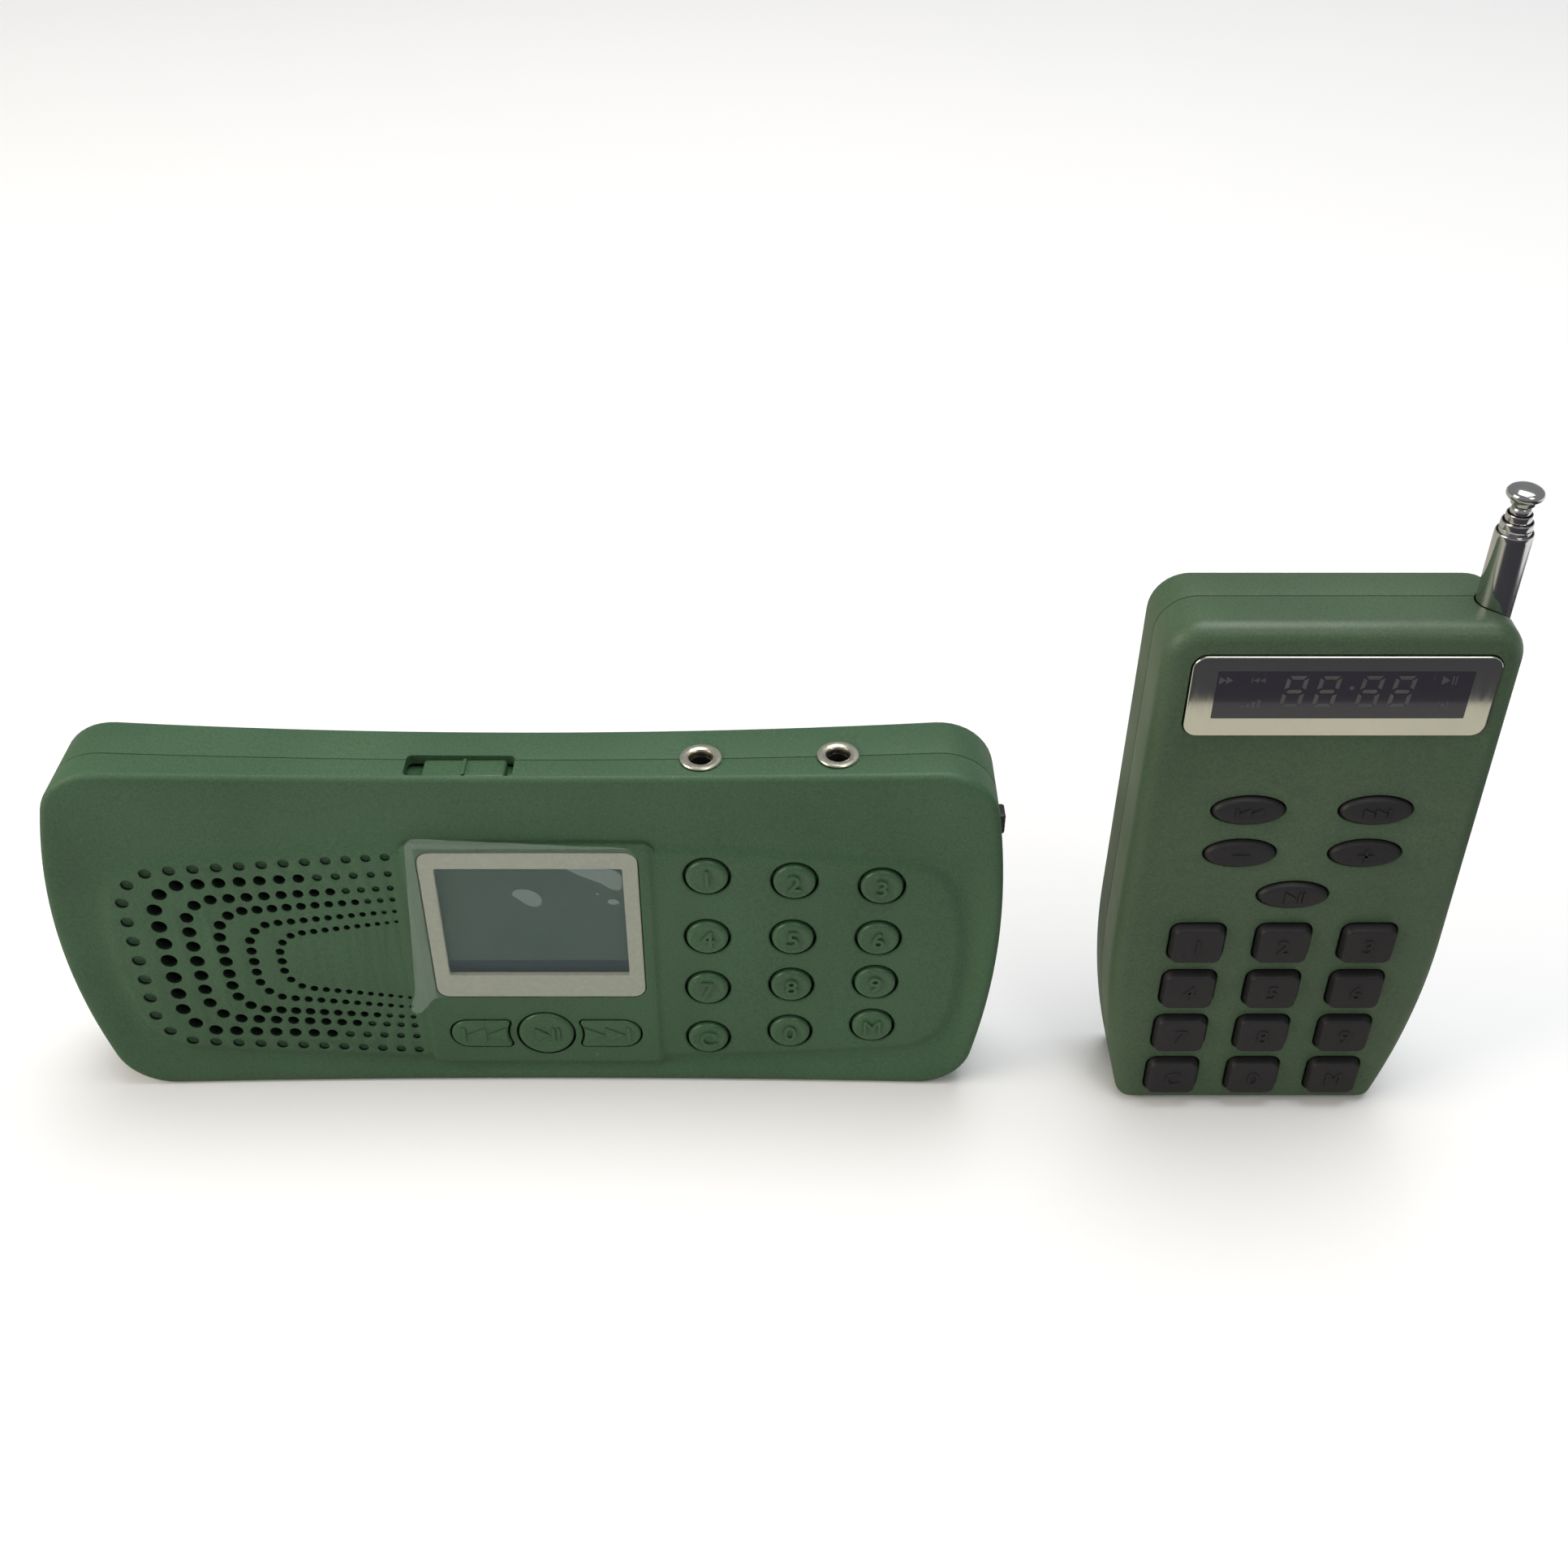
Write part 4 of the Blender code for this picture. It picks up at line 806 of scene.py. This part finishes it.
def grille_cutters():
    """One cutter for the open holes and one for the blind dimples."""
    dimple = mm((-0.1, -1), (-0.1, 0), (-0.03, 0.05), (0, 0.18), (0, 0.72), (0.15, 0.9))
    holes, dimples = [], []
    for x, z, radius, blind in grille_holes():
        steps = 18 if radius > 0.0007 else 12
        if blind:
            dimples.append(loft(stepped(disc((x, z), radius, steps), PLATEAU_Y, dimple)))
        else:
            holes.append(rim_cutter(disc((x, z), radius * 1.12, steps), PLATEAU_Y, WELL_Y, 0.00014, 2))
    return merged(*holes), merged(*dimples)


def key_cutters():
    discs = [disc((x, z), KEY_HOLE, 40) for _, _, x, z in key_places()]
    wells = [rim_cutter(outline_at, PLATEAU_Y, WELL_Y, 0.00045) for outline_at in discs]
    wells.append(rim_cutter(disc((0, TRANSPORT_Z), PLAY_RADIUS + 0.00035, 56), CENTRE_Y, WELL_Y, 0.00022))
    for side in (-1, 1):
        outline_at = lambda inset, s=side: transport_outline(s, inset - 0.0003)
        wells.append(rim_cutter(outline_at, CENTRE_Y, WELL_Y, 0.00022))
    return merged(*wells)


def shade_recesses(shell):
    """The insides of the holes and the deep recesses take a darker green: painted shade where little light
    reaches.
    """
    for face in shell.data.polygons:
        inside = abs(face.center.x) < PLATEAU_X + 0.0005 and RECESS_Z[0] < face.center.z < RECESS_Z[1]
        wall = abs(face.normal.y) < 0.5 and face.center.y > PLATEAU_Y + 0.0003
        if inside and (wall or face.center.y > RECESS_Y):
            face.material_index = 1


def carve_edge(shell):
    """The slots and holes that straddle the parting plane."""
    middle = (sum(SLOT_X) / 2, sum(SLOT_Y) / 2)
    size = (SLOT_X[1] - SLOT_X[0], SLOT_Y[1] - SLOT_Y[0])
    points = box_outline(middle, size, 0.0009)
    holes = [loft([[Vector((p.x, p.y, z)) for p in points] for z in (0.06, 0.075)])]
    for x in JACKS_X:
        profile = ((0, 0.075), (0.0032, 0.075), (0.0032, 0.06), (0, 0.06))
        holes.append(turned(profile, (x, JACK_Y, 0), UP))
    holes.append(block((0.07, 0.08), (SWITCH_Y[0] - GAP, SWITCH_Y[1] + GAP), SWITCH_SLOT_Z))
    carve(shell, merged(*holes))


def caller_rear():
    inside = 0.0068
    loops = shell_edge(caller_outline, PARTING_Y, 1, WALL, REAR_INSIDE_Y)
    loops += fillet_loops(caller_outline, REAR_Y, 1, REAR_FILLET)
    shell = as_object("caller_rear_casing", loft(loops), "green")
    add_bay(shell, CALLER_BATTERY, BATTERY, -0.0005, inside, REAR_Y)
    for x in SCREWS_X:
        screw_boss(shell, (x, SCREW_Z), -0.0013, inside)
        screw_hole(shell, (x, SCREW_Z), 0.0052, REAR_Y)
    dish(shell)
    carve_edge(shell)
    give(shell, "caller", "green_plastic", "caller_rear_shell")
    door = battery_door("caller_battery_lid", CALLER_BATTERY, BATTERY, REAR_Y, "green")
    dish(door)
    give(door, "caller_door", "green_plastic", "caller_battery_door")


def caller_key(name, shape):
    key = as_object(f"caller_key_{name}_cap", shape, "green_keys")
    give(key, f"caller_key_{name}_cap", "green_plastic", f"caller_key_{name}")


def round_key(name, radius, place, raised, back):
    """A cap with a rounded crown and a raised mark, and a flange behind the plate."""
    wide, deep, flange = 0.00085, 0.0006, radius + FLANGE
    profile = [(0, -0.00012), (radius * 0.4, -0.0001), (radius * 0.6, -0.00004), (radius * 0.72, 0.00001)]
    profile += [(radius - wide * inset, 0.00004 - deep * drop) for inset, drop in quarter(6)]
    profile += [(radius, FLANGE_FRONT), (flange, FLANGE_FRONT), (flange, back), (0, back)]
    caller_key(name, merged(turned(profile, place, FRONT_WAY, 56), moved(raised, place)))


def caller_keys():
    for name, mark, x, z in key_places():
        place = Vector((x, dished(x, PLATEAU_Y) - 0.0005, z))
        raised = lettering(mark, KEY_LETTER, 0.0007, 0.0 if mark == "M" else 0.00007)
        round_key(name, KEY_RADIUS, place, moved(raised, (0, 0.00005, 0)), KEY_BACK)
    face = dished(0, CENTRE_Y) - 0.0003
    raised = flat_shapes(icon("play", 0.0017), -0.00016, 0.0005)
    round_key("play", PLAY_RADIUS, Vector((0, face, TRANSPORT_Z)), raised, PLAY_BACK)
    back = face + 0.0025
    for side, name in ((-1, "previous"), (1, "next")):
        outline_at = lambda inset, s=side: transport_outline(s, inset)
        cap = loft(rounded_edge(outline_at, face, 0.0004) + [at_depth(outline_at(0), back)])
        flange = prism(outline_at(-0.0004), back, back + 0.0006)
        raised = flat_shapes(icon(name, 0.0025, (side * 0.0108, TRANSPORT_Z)), face - 0.0002, 0.0005)
        caller_key(name, merged(cap, flange, raised))


def caller_screen():
    front = dished(0, CENTRE_Y) + 0.00002
    inner = box_outline((0, LCD_Z), LCD_SIZE, 0.0004)
    ring = screen_ring(box((0, LENS_Z), LENS_SIZE, 0.0021), inner, front, front + 0.0008, 0.0002, 4)
    give(as_object("caller_screen_frame", ring, "frame"), "caller", "printed_lens", "caller_screen_lens")
    half_x, half_z, ledge = 0.0162, 0.0125, 0.003
    wide, low, high = (-half_x, half_x), LCD_Z - half_z, LCD_Z + half_z
    face, ledge_z = front + 0.0011, low + ledge
    shapes = [block(wide, (face, face + 0.0006), (ledge_z, high))]
    shapes.append(block(wide, (face + 0.0003, face + 0.0006), (low, ledge_z)))
    for z in (ledge_z, high - 0.0007):
        shapes.append(block(wide, (face - 0.00002, face + 0.0001), (z, z + 0.00012)))
    panel = as_object("caller_display", merged(*shapes, numbers=[0, 1, 1, 1]), "panel", "ledge")
    give(panel, "caller", "liquid_crystal")
    caller_film(front)
    film_air(front)


def caller_film(front):
    """The protective film left on the screen, with a pull tab at its lower left."""
    points = mm(
        (-22.7, 18.6), (-22.2, 17.6), (-21.5, 17.3), (-20.7, 17.9), (-18.6, 20.4), (-16.0, 20.9),
        (-9.0, 20.75), (-3.0, 20.95), (3.0, 20.6), (9.0, 20.95), (14.0, 20.7), (16.8, 21.3),
        (17.7, 22.6), (17.7, 36.0), (17.8, 50.6), (17.6, 52.4), (16.9, 53.8), (15.6, 54.3),
        (8.0, 54.7), (0.0, 55.2), (-9.0, 55.8), (-16.8, 56.3), (-18.4, 56.0), (-19.2, 54.9),
        (-19.6, 50.0), (-20.3, 40.0), (-21.0, 30.0), (-21.5, 22.5),
    )
    shape = bmesh.new()
    ring = [shape.verts.new((x, 0, z)) for x, z in points]
    shape.faces.new(ring)
    bmesh.ops.bevel(shape, geom=ring, offset=0.0004, segments=3, profile=0.5, affect="VERTICES")
    sliced(shape, [(k * 0.002, 0, 0) for k in range(-11, 10)], (1, 0, 0))
    sliced(shape, [(0, 0, k * 0.002) for k in range(8, 29)], (0, 0, 1))
    for v in shape.verts:
        v.co.y = front - film_lift(v.co.x, v.co.z)
    for face in shape.faces:
        middle = face.calc_center_median()
        face.material_index = int(middle.x < FILM_LEFT_X - 0.0001 or middle.z > FILM_TOP_Z + 0.0002)
    film = as_object("screen_film", shape, "film", "tab")
    solid = film.modifiers.new("thick", "SOLIDIFY")
    solid.thickness, solid.offset = 0.00005, 1.0
    give(film, "caller", "printed_lens")


def film_lift(x, z):
    """How far the film stands off the screen: it lifts past the border and more at its tab."""
    past_top, past_left = max(0.0, z - FILM_TOP_Z), max(0.0, FILM_LEFT_X - x)
    tab = max(0.0, FILM_LEFT_X - 0.0006 - x) if z < 0.0212 else 0.0
    ripple = 0.00004 * math.sin(x * 900) if past_top else 0.0
    waves = 0.00003 * math.sin(x * 420 + z * 260)
    return 0.0001 + past_top * 0.1 + ripple + past_left * 0.05 + tab * 0.16 - waves


def film_air(front):
    """Air caught under the film, as thin lighter patches with soft outlines."""
    patches = {
        "middle": mm(
            (-3.3, 44.1), (-2.2, 45.4), (0.1, 45.2), (1.6, 44.0),
            (1.9, 42.4), (0.8, 41.3), (-0.9, 41.9), (-2.1, 43.3),
        ),
        "corner": mm(
            (5.6, 50.1), (15.2, 49.9), (15.2, 45.0), (13.4, 45.0),
            (11.8, 46.6), (9.6, 47.6), (7.2, 48.9),
        ),
        "small": mm((12.3, 42.6), (13.2, 43.2), (14.4, 42.9), (14.5, 42.1), (13.3, 41.8)),
        "speck": mm((10.6, 44.2), (10.9, 44.6), (11.3, 44.3), (11.0, 43.9)),
    }
    for name, corners in patches.items():
        points = smooth_ring([Vector(corner) for corner in corners])
        middle = sum(points, Vector((0, 0))) / len(points)
        inner = [middle + (p - middle) * 0.8 for p in points]
        bubble = loft((at_depth(points, front - 0.00006), at_depth(inner, front - 0.00009)))
        give(as_object("film_bubble_" + name, bubble, "bubble"), "caller", "printed_lens")


def caller_sockets():
    for name, x in zip(("jack_left", "jack_right"), JACKS_X):
        place = Vector((x, JACK_Y, top_z(x)))
        z = place.z
        profile = mm(
            (1.83, -0.8), (1.86, 0.1), (2, 0.38), (2.28, 0.52), (2.8, 0.55), (3.18, 0.48), (3.33, 0.34),
            (3.35, 0.2), (2.9, 0.2), (2.9, -12), (1.86, -12), (1.86, -0.9),
        )
        liner = mm((1.77, -0.9), (1.85, -0.9), (1.85, -11.9), (1.77, -11.9))
        plug = mm((0, -6), (1.7, -6), (1.7, -6.4), (0, -6.4))
        shapes = [turned(profile, place, UP, 64), turned(liner, place, UP, 64), turned(plug, place, UP, 32)]
        contact_y = (JACK_Y - 0.0005, JACK_Y + 0.0005)
        shapes.append(block((x + 0.0008, x + 0.0016), contact_y, (z - 0.0042, z - 0.0036), 0.0001))
        socket = as_object(f"{name}_socket", merged(*shapes, numbers=[0, 1, 1, 0]), "nickel", "black")
        give(socket, "caller", "nickel_plate", name)


def caller_slider():
    y = (SLOT_Y[0] + GAP, SLOT_Y[1] - GAP)
    high = top_z(SLIDER_X[0]) - 0.0005
    middle = sum(SLIDER_X) / 2
    knob = block(SLIDER_X, y, (0.0648, high), 0.00055, 4)
    rib_x, rib_y = (middle - 0.00032, middle + 0.00032), (y[0] + 0.0003, y[1] - 0.0003)
    rib = block(rib_x, rib_y, (high - 0.0006, high + 0.00045), 0.00028, 4)
    base_x, base_y = (SLIDER_X[0] - 0.0033, SLIDER_X[1] + 0.0018), (y[0] + 0.0008, y[1] + 0.001)
    base = block(base_x, base_y, (0.0642, 0.0658), 0.0002, 2)
    slider = as_object("lock_slider_knob", merged(knob, rib, base), "green_keys")
    give(slider, "lock", "green_plastic", "lock_slider")


def caller_switch():
    switch = as_object("power_switch_knob", block(SWITCH_X, SWITCH_Y, SWITCH_Z, 0.0004, 3), "black")
    groove_x = (SWITCH_X[1] - 0.0003, SWITCH_X[1] + 0.0009)
    starts = [0.0549 + k * 0.001 for k in range(3)]
    carve(switch, merged(*[block(groove_x, (-0.01, 0.01), (z, z + 0.0004)) for z in starts]))
    base_y, base_z = (SWITCH_Y[0] - 0.001, SWITCH_Y[1] + 0.001), (SWITCH_Z[0] - 0.001, SWITCH_Z[1] + 0.0006)
    carve(switch, block((0.0704, 0.0716), base_y, base_z, 0.0001, 1), operation="UNION")
    give(switch, "switch", "black_plastic", "power_switch")


def speaker():
    # The cloth closes the grille's holes; its near-black look is partly painted shade of the cavity.
    sheet = prism(disc((SPEAKER_X, GRILLE_Z), CLOTH_RADIUS, 64)(0), *CLOTH_Y)
    give(as_object("speaker_cloth", sheet, "cloth"), "caller", "paper_cone")


# ---- remote


def remote_shells():
    boss_end = 0.0066
    loops = shell_edge(remote_outline, 0.0, -1, R_WALL, R_FRONT_INSIDE)
    loops += fillet_loops(remote_outline, R_FRONT, -1, R_FRONT_FILLET, 10)
    front = as_object("remote_front_casing", loft(loops), "remote_green")
    outlines = [box(centre, R_KEY, R_KEY_CORNER, GAP) for centre in R_PLACES]
    outlines += [oval(centre, R_OVAL, GAP) for centre in R_OVALS.values()]
    holes = [rim_cutter(outline_at, R_FRONT, R_WELL, 0.0002) for outline_at in outlines]
    lens = box((0, R_LENS_Z), R_LENS, R_LENS_CORNER, 0.00015)
    holes.append(rim_cutter(lens, R_FRONT, R_FRONT + 0.001, 0.00015))
    carve(front, merged(*holes), aerial_way())
    loops = shell_edge(remote_outline, 0.0, 1, R_WALL, R_REAR_INSIDE)
    loops += fillet_loops(remote_outline, R_REAR, 1, R_REAR_FILLET, 8)
    rear = as_object("remote_rear_casing", loft(loops), "remote_green")
    add_bay(rear, R_BATTERY, UPRIGHT_BATTERY, 0.0004, boss_end, R_REAR)
    screw_boss(rear, R_SCREW, 0.0002, boss_end)
    screw_hole(rear, R_SCREW, 0.0056, R_REAR)
    carve(rear, aerial_way())
    door = battery_door("remote_battery_lid", R_BATTERY, UPRIGHT_BATTERY, R_REAR, "remote_green")
    for piece, body, node in (
        (front, "handset", "remote_front_shell"),
        (rear, "handset", "remote_rear_shell"),
        (door, "handset_door", "remote_battery_door"),
    ):
        piece.data.transform(Matrix.Translation(REMOTE))
        give(piece, body, "green_plastic", node)


def aerial_way():
    radius, foot = AERIAL_RADII[0] + GAP * 0.7, AERIAL_FOOT - 0.001
    return turned(((0, 0.105), (radius, 0.105), (radius, foot), (0, foot)), AERIAL, UP, 64)


def remote_keys():
    square_crown = mm((0.7, 0), (0.45, 0.03), (0.3, 0.12), (0.22, 0.28))
    oval_crown = mm((1.2, 0), (0.7, 0.04), (0.4, 0.14), (0.22, 0.3))
    for name, mark, centre in zip(KEY_NAMES, KEY_MARKS, R_PLACES):
        proud = R_PROUD - MARK_PROUD
        raised = lettering(mark, R_LETTER, 2 * MARK_PROUD, 0.0 if mark == "M" else 0.00004)
        moved(raised, (centre[0], R_FRONT - proud, centre[1]))
        rubber_key(name, box(centre, R_KEY, R_KEY_CORNER), proud, square_crown, raised)
    for name, centre in R_OVALS.items():
        face = R_FRONT - R_OVAL_PROUD
        raised = flat_shapes(icon(name, 0.0013, centre), face - MARK_PROUD, 2 * MARK_PROUD)
        rubber_key(name, oval(centre, R_OVAL), R_OVAL_PROUD, oval_crown, raised)


def rubber_key(name, outline_at, proud, crown, raised):
    """A pad with a rounded crown of (inset, depth) steps, sides painted darker as shade, and a raised mark.
    """
    face, node = R_FRONT - proud, "remote_key_" + name
    levels = (*crown, (0.0, proud), (0.0, R_KEY_BACK - face))
    cap = loft(stepped(outline_at, face, levels))
    # Faces that are not the top take the darker rubber: painted shade on the sides.
    for polygon in cap.faces:
        on_top = abs(polygon.normal.y) > 0.35 and polygon.calc_center_median().y < face + 0.0002
        polygon.material_index = 0 if on_top else 1
    key = as_object(node + "_pad", moved(merged(cap, raised), REMOTE), "rubber", "rubber_painted_shade")
    give(key, node + "_cap", "black_rubber", node, angle=28)


def segment_digit(x, z, height=0.0055, width=0.00315, lean=0.1):
    """The seven bars of one slanted figure."""
    thick, gap = 0.00062, 0.00016
    half, near, far = height / 2, gap + thick * 0.3, width - gap - thick * 0.3
    bars = []
    for level, into in ((-half, thick), (half, -thick)):
        tips = (near + thick * 0.7, far - thick * 0.7)
        bars.append([(near, level), (far, level), (tips[1], level + into), (tips[0], level + into)])
    tips, nib = (near + thick * 0.6, far - thick * 0.6), 0.0001
    middle = [(near + nib, 0), (tips[0], -thick / 2), (tips[1], -thick / 2)]
    bars.insert(1, middle + [(far - nib, 0), (tips[1], thick / 2), (tips[0], thick / 2)])
    for low, high in ((-half, 0.0), (0.0, half)):
        a, b = low + gap + thick * 0.35, high - gap - thick * 0.35
        for edge, into in ((0.0, thick), (width, -thick)):
            inner = edge + into
            bars.append([(edge, a), (inner, a + thick * 0.6), (inner, b - thick * 0.6), (edge, b)])
    return [[(x + p + lean * q, z + q) for p, q in shape] for shape in bars]


def remote_screen():
    front = R_FRONT - 0.0004
    outer_at = box((0, R_LENS_Z), R_LENS, R_LENS_CORNER)
    inner = box_outline((0, R_LCD_Z), R_LCD, 0.0002)
    ring = screen_ring(outer_at, inner, front, front + 0.0011, 0.00022, 5)
    piece = as_object("remote_screen_border", moved(ring, REMOTE), "silver")
    give(piece, "handset", "silvered_lens", "remote_screen_lens", angle=40)
    x, z = R_LCD[0] / 2, R_LCD[1] / 2
    glass = block((-x, x), (front + 0.00003, front + 0.0008), (R_LCD_Z - z, R_LCD_Z + z))
    digits = []
    for start in (-0.0087, -0.0039, 0.00235, 0.00705):
        digits += segment_digit(start, R_LCD_Z + 0.00062)
    digits.append([tuple(p) for p in ellipse_outline((0.00118, R_LCD_Z + 0.00125), (0.0007, 0.0007), 0, 16)])
    upper = R_LCD_Z + 0.0026
    signs = icon("forward", 0.00085, (-0.0173, upper)) + icon("previous", 0.00065, (-0.0126, upper))
    signs += icon("play", 0.00085, (0.015, upper))
    for k in range(4):
        level = bar(-0.0146 + k * 0.0008, 0.00025 + k * 0.00015, 0.0005)
        signs += placed([level], (0, R_LCD_Z - 0.002 + k * 0.00015))
    cell = [bar(-0.0008, 0.0006, 0.0002), bar(0.0006, 0.0006, 0.0002), bar(-0.0003, 0.0003, 0.0006)]
    signs += placed(cell, (0.015, R_LCD_Z - 0.0018))
    marks = [flat_shapes(shapes, front - 0.00001, 0.00008) for shapes in (digits, signs)]
    shapes = moved(merged(glass, *marks, numbers=[0, 1, 2]), REMOTE)
    window = as_object("remote_screen_window", shapes, "window", "segments", "icons")
    give(window, "handset", "liquid_crystal")


def aerial():
    """Three tubes and their outer tube, each with a rolled lip, and the rod with its knob."""
    place = REMOTE + AERIAL
    for i, (outer, top) in enumerate(zip(AERIAL_RADII, AERIAL_TOPS)):
        name = f"aerial_section_{i + 1}" if i else "aerial_tube"
        body = f"section_{i + 1}" if i else "handset"
        bore, foot = outer - 0.0002, AERIAL_FOOT + i * 0.001
        lip = (*AERIAL_RADII, ROD)[i + 1] + 0.00012
        profile = [(lip, top - 0.0003), (lip + 0.00008, top - 0.00005), (lip + 0.0002, top)]
        roll = outer - lip - 0.0002
        profile += [(outer - roll * inset, top - 0.0009 * drop) for inset, drop in quarter(5)[1:]]
        if i:
            groove = outer - 0.00006
            profile += [(outer, top - 0.00105), (groove, top - 0.00115)]
            profile += [(groove, top - 0.0013), (outer, top - 0.00145)]
        profile += [(outer, foot), (bore, foot), (bore, top - 0.001), (lip, top - 0.0008)]
        tube = as_object(name + "_chrome", turned(profile, place, UP, 64), "chrome")
        give(tube, body, "chrome_plate", name, angle=45)
    foot, collar = AERIAL_FOOT + 0.004, AERIAL_TOPS[-1] + GAP
    knob = mm(
        (0, 0), (0.8, 0.03), (1.5, 0.13), (2.1, 0.36), (2.45, 0.62), (2.62, 0.9), (2.65, 1.2),
        (2.58, 1.48), (2.38, 1.72), (2.08, 1.92), (1.85, 2.08), (1.75, 2.2),
    )
    profile = [(radius, KNOB_TOP - drop) for radius, drop in knob]
    profile += [(0.00175, collar + 0.0003), (0.0017, collar + 0.0001), (0.0014, collar), (ROD, collar)]
    tip = turned(profile + [(ROD, foot), (0, foot)], place, UP, 64)
    give(as_object("aerial_tip_chrome", tip, "chrome"), "tip", "chrome_plate", "aerial_tip", angle=45)


def battery(name, centre, size, y, shift, body):
    levels = mm((0.9, 0), (0.3, 0.3), (0, 1), (0, 3.5), (0.3, 4.2), (0.9, 4.5))
    pack = loft(stepped(box(centre, size, 0.001), y, levels))
    give(as_object(name + "_pack", moved(pack, shift), "wrap"), body, "battery_wrap", name)


def repaint():
    """The CAD nodes that stay in view keep their shape and take a better material."""
    for node, look in (
        ("caller_main_board", "board"), ("remote_board", "board"), ("caller_lcd", "panel"),
        ("remote_lcd", "panel"), ("speaker_frame", "steel"), ("speaker_cone", "paper"),
    ):
        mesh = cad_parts[node].data
        mesh.materials.clear()
        mesh.materials.append(LOOKS[look])


# ---- studio


def stage_piece(name, x, y, z, colour):
    """A flat piece of the studio, and the look that covers it."""
    look = Look(name, colour, 0.9)
    LOOKS[name] = look.material
    return as_object(name, block(x, y, z), name), look


def in_scene(name, data, place):
    obj = bpy.data.objects.new(name, data)
    bpy.context.scene.collection.objects.link(obj)
    obj.location = place
    return obj


def studio():
    floor, white = stage_piece("floor", (-4, 4), (-4, 4), (-0.02, -0.00005), (0.88, 0.88, 0.88))
    white.blotched(white.noise(3, 2), 0.93, 0.95)
    # The cards show only in reflections: pale behind the remote's mirror, dark in front of it.
    split, right, thin = -0.1335, 0.209, (0.0002, 0.0004)
    pale, dark = (0.44, 0.43, 0.36), (0.026, 0.026, 0.034)
    cards = [
        stage_piece("grey_card", (-0.8, right), (split, 0.8), thin, pale)[0],
        stage_piece("dark_card", (-0.8, 0.9), (-1.2, split), thin, dark)[0],
        stage_piece("dark_card_right", (right, 0.34), (split, 0.1), thin, dark)[0],
    ]
    for card in cards:
        card.visible_camera = card.visible_diffuse = card.visible_shadow = card.visible_transmission = False
    world = bpy.data.worlds.new("studio")
    bpy.context.scene.world = world
    world.use_nodes = True
    background = world.node_tree.nodes["Background"].inputs
    background["Color"].default_value = (0.95, 0.98, 1.0, 1)
    background["Strength"].default_value = 0.28
    for name, place, aim, size, power, colour in (
        ("key", (0.25, 0.2, 1.5), (0.04, 0, 0), 1.0, 17.0, (1, 1, 1)),
        ("side", (-1.05, -0.3, 0.65), (0.0, 0, 0.04), 0.7, 9.1, (1.0, 0.89, 0.78)),
        ("fill", (0.6, -0.8, 1.05), (0.04, 0, 0.04), 0.5, 2.0, (1, 1, 1)),
    ):
        light = bpy.data.lights.new(name, "AREA")
        light.shape, light.size, light.energy, light.color = "SQUARE", size, power, colour
        lamp = in_scene(name, light, place)
        lamp.rotation_euler = (Vector(aim) - Vector(place)).to_track_quat("-Z", "Y").to_euler()
    bpy.context.scene.view_settings.view_transform = "Standard"
    camera = bpy.data.cameras.new("camera")
    camera.sensor_width, camera.lens = 36.0, 40.99
    camera.clip_start, camera.clip_end = 0.01, 20
    viewer = in_scene("camera", camera, (0.0415, -0.2255, 0.23816))
    viewer.rotation_euler = (math.radians(52.0), 0, 0)
    bpy.context.scene.camera = viewer


caller_front()
caller_rear()
caller_keys()
caller_screen()
caller_sockets()
caller_slider()
caller_switch()
speaker()
for side, x in zip(("left", "right"), SCREWS_X):
    screw(f"caller_screw_{side}_head", Vector((x, 0.0063, SCREW_Z)), "caller", f"caller_screw_{side}")

remote_shells()
remote_keys()
remote_screen()
aerial()
place = REMOTE + Vector((R_SCREW[0], 0.0071, R_SCREW[1]))
screw("remote_screw_head", place, "handset", "remote_screw", 0.01)
battery("caller_battery", CALLER_BATTERY, BATTERY, 0.0006, Vector(), "caller")
battery("remote_battery", R_BATTERY, UPRIGHT_BATTERY, 0.0015, REMOTE, "handset")
repaint()
studio()
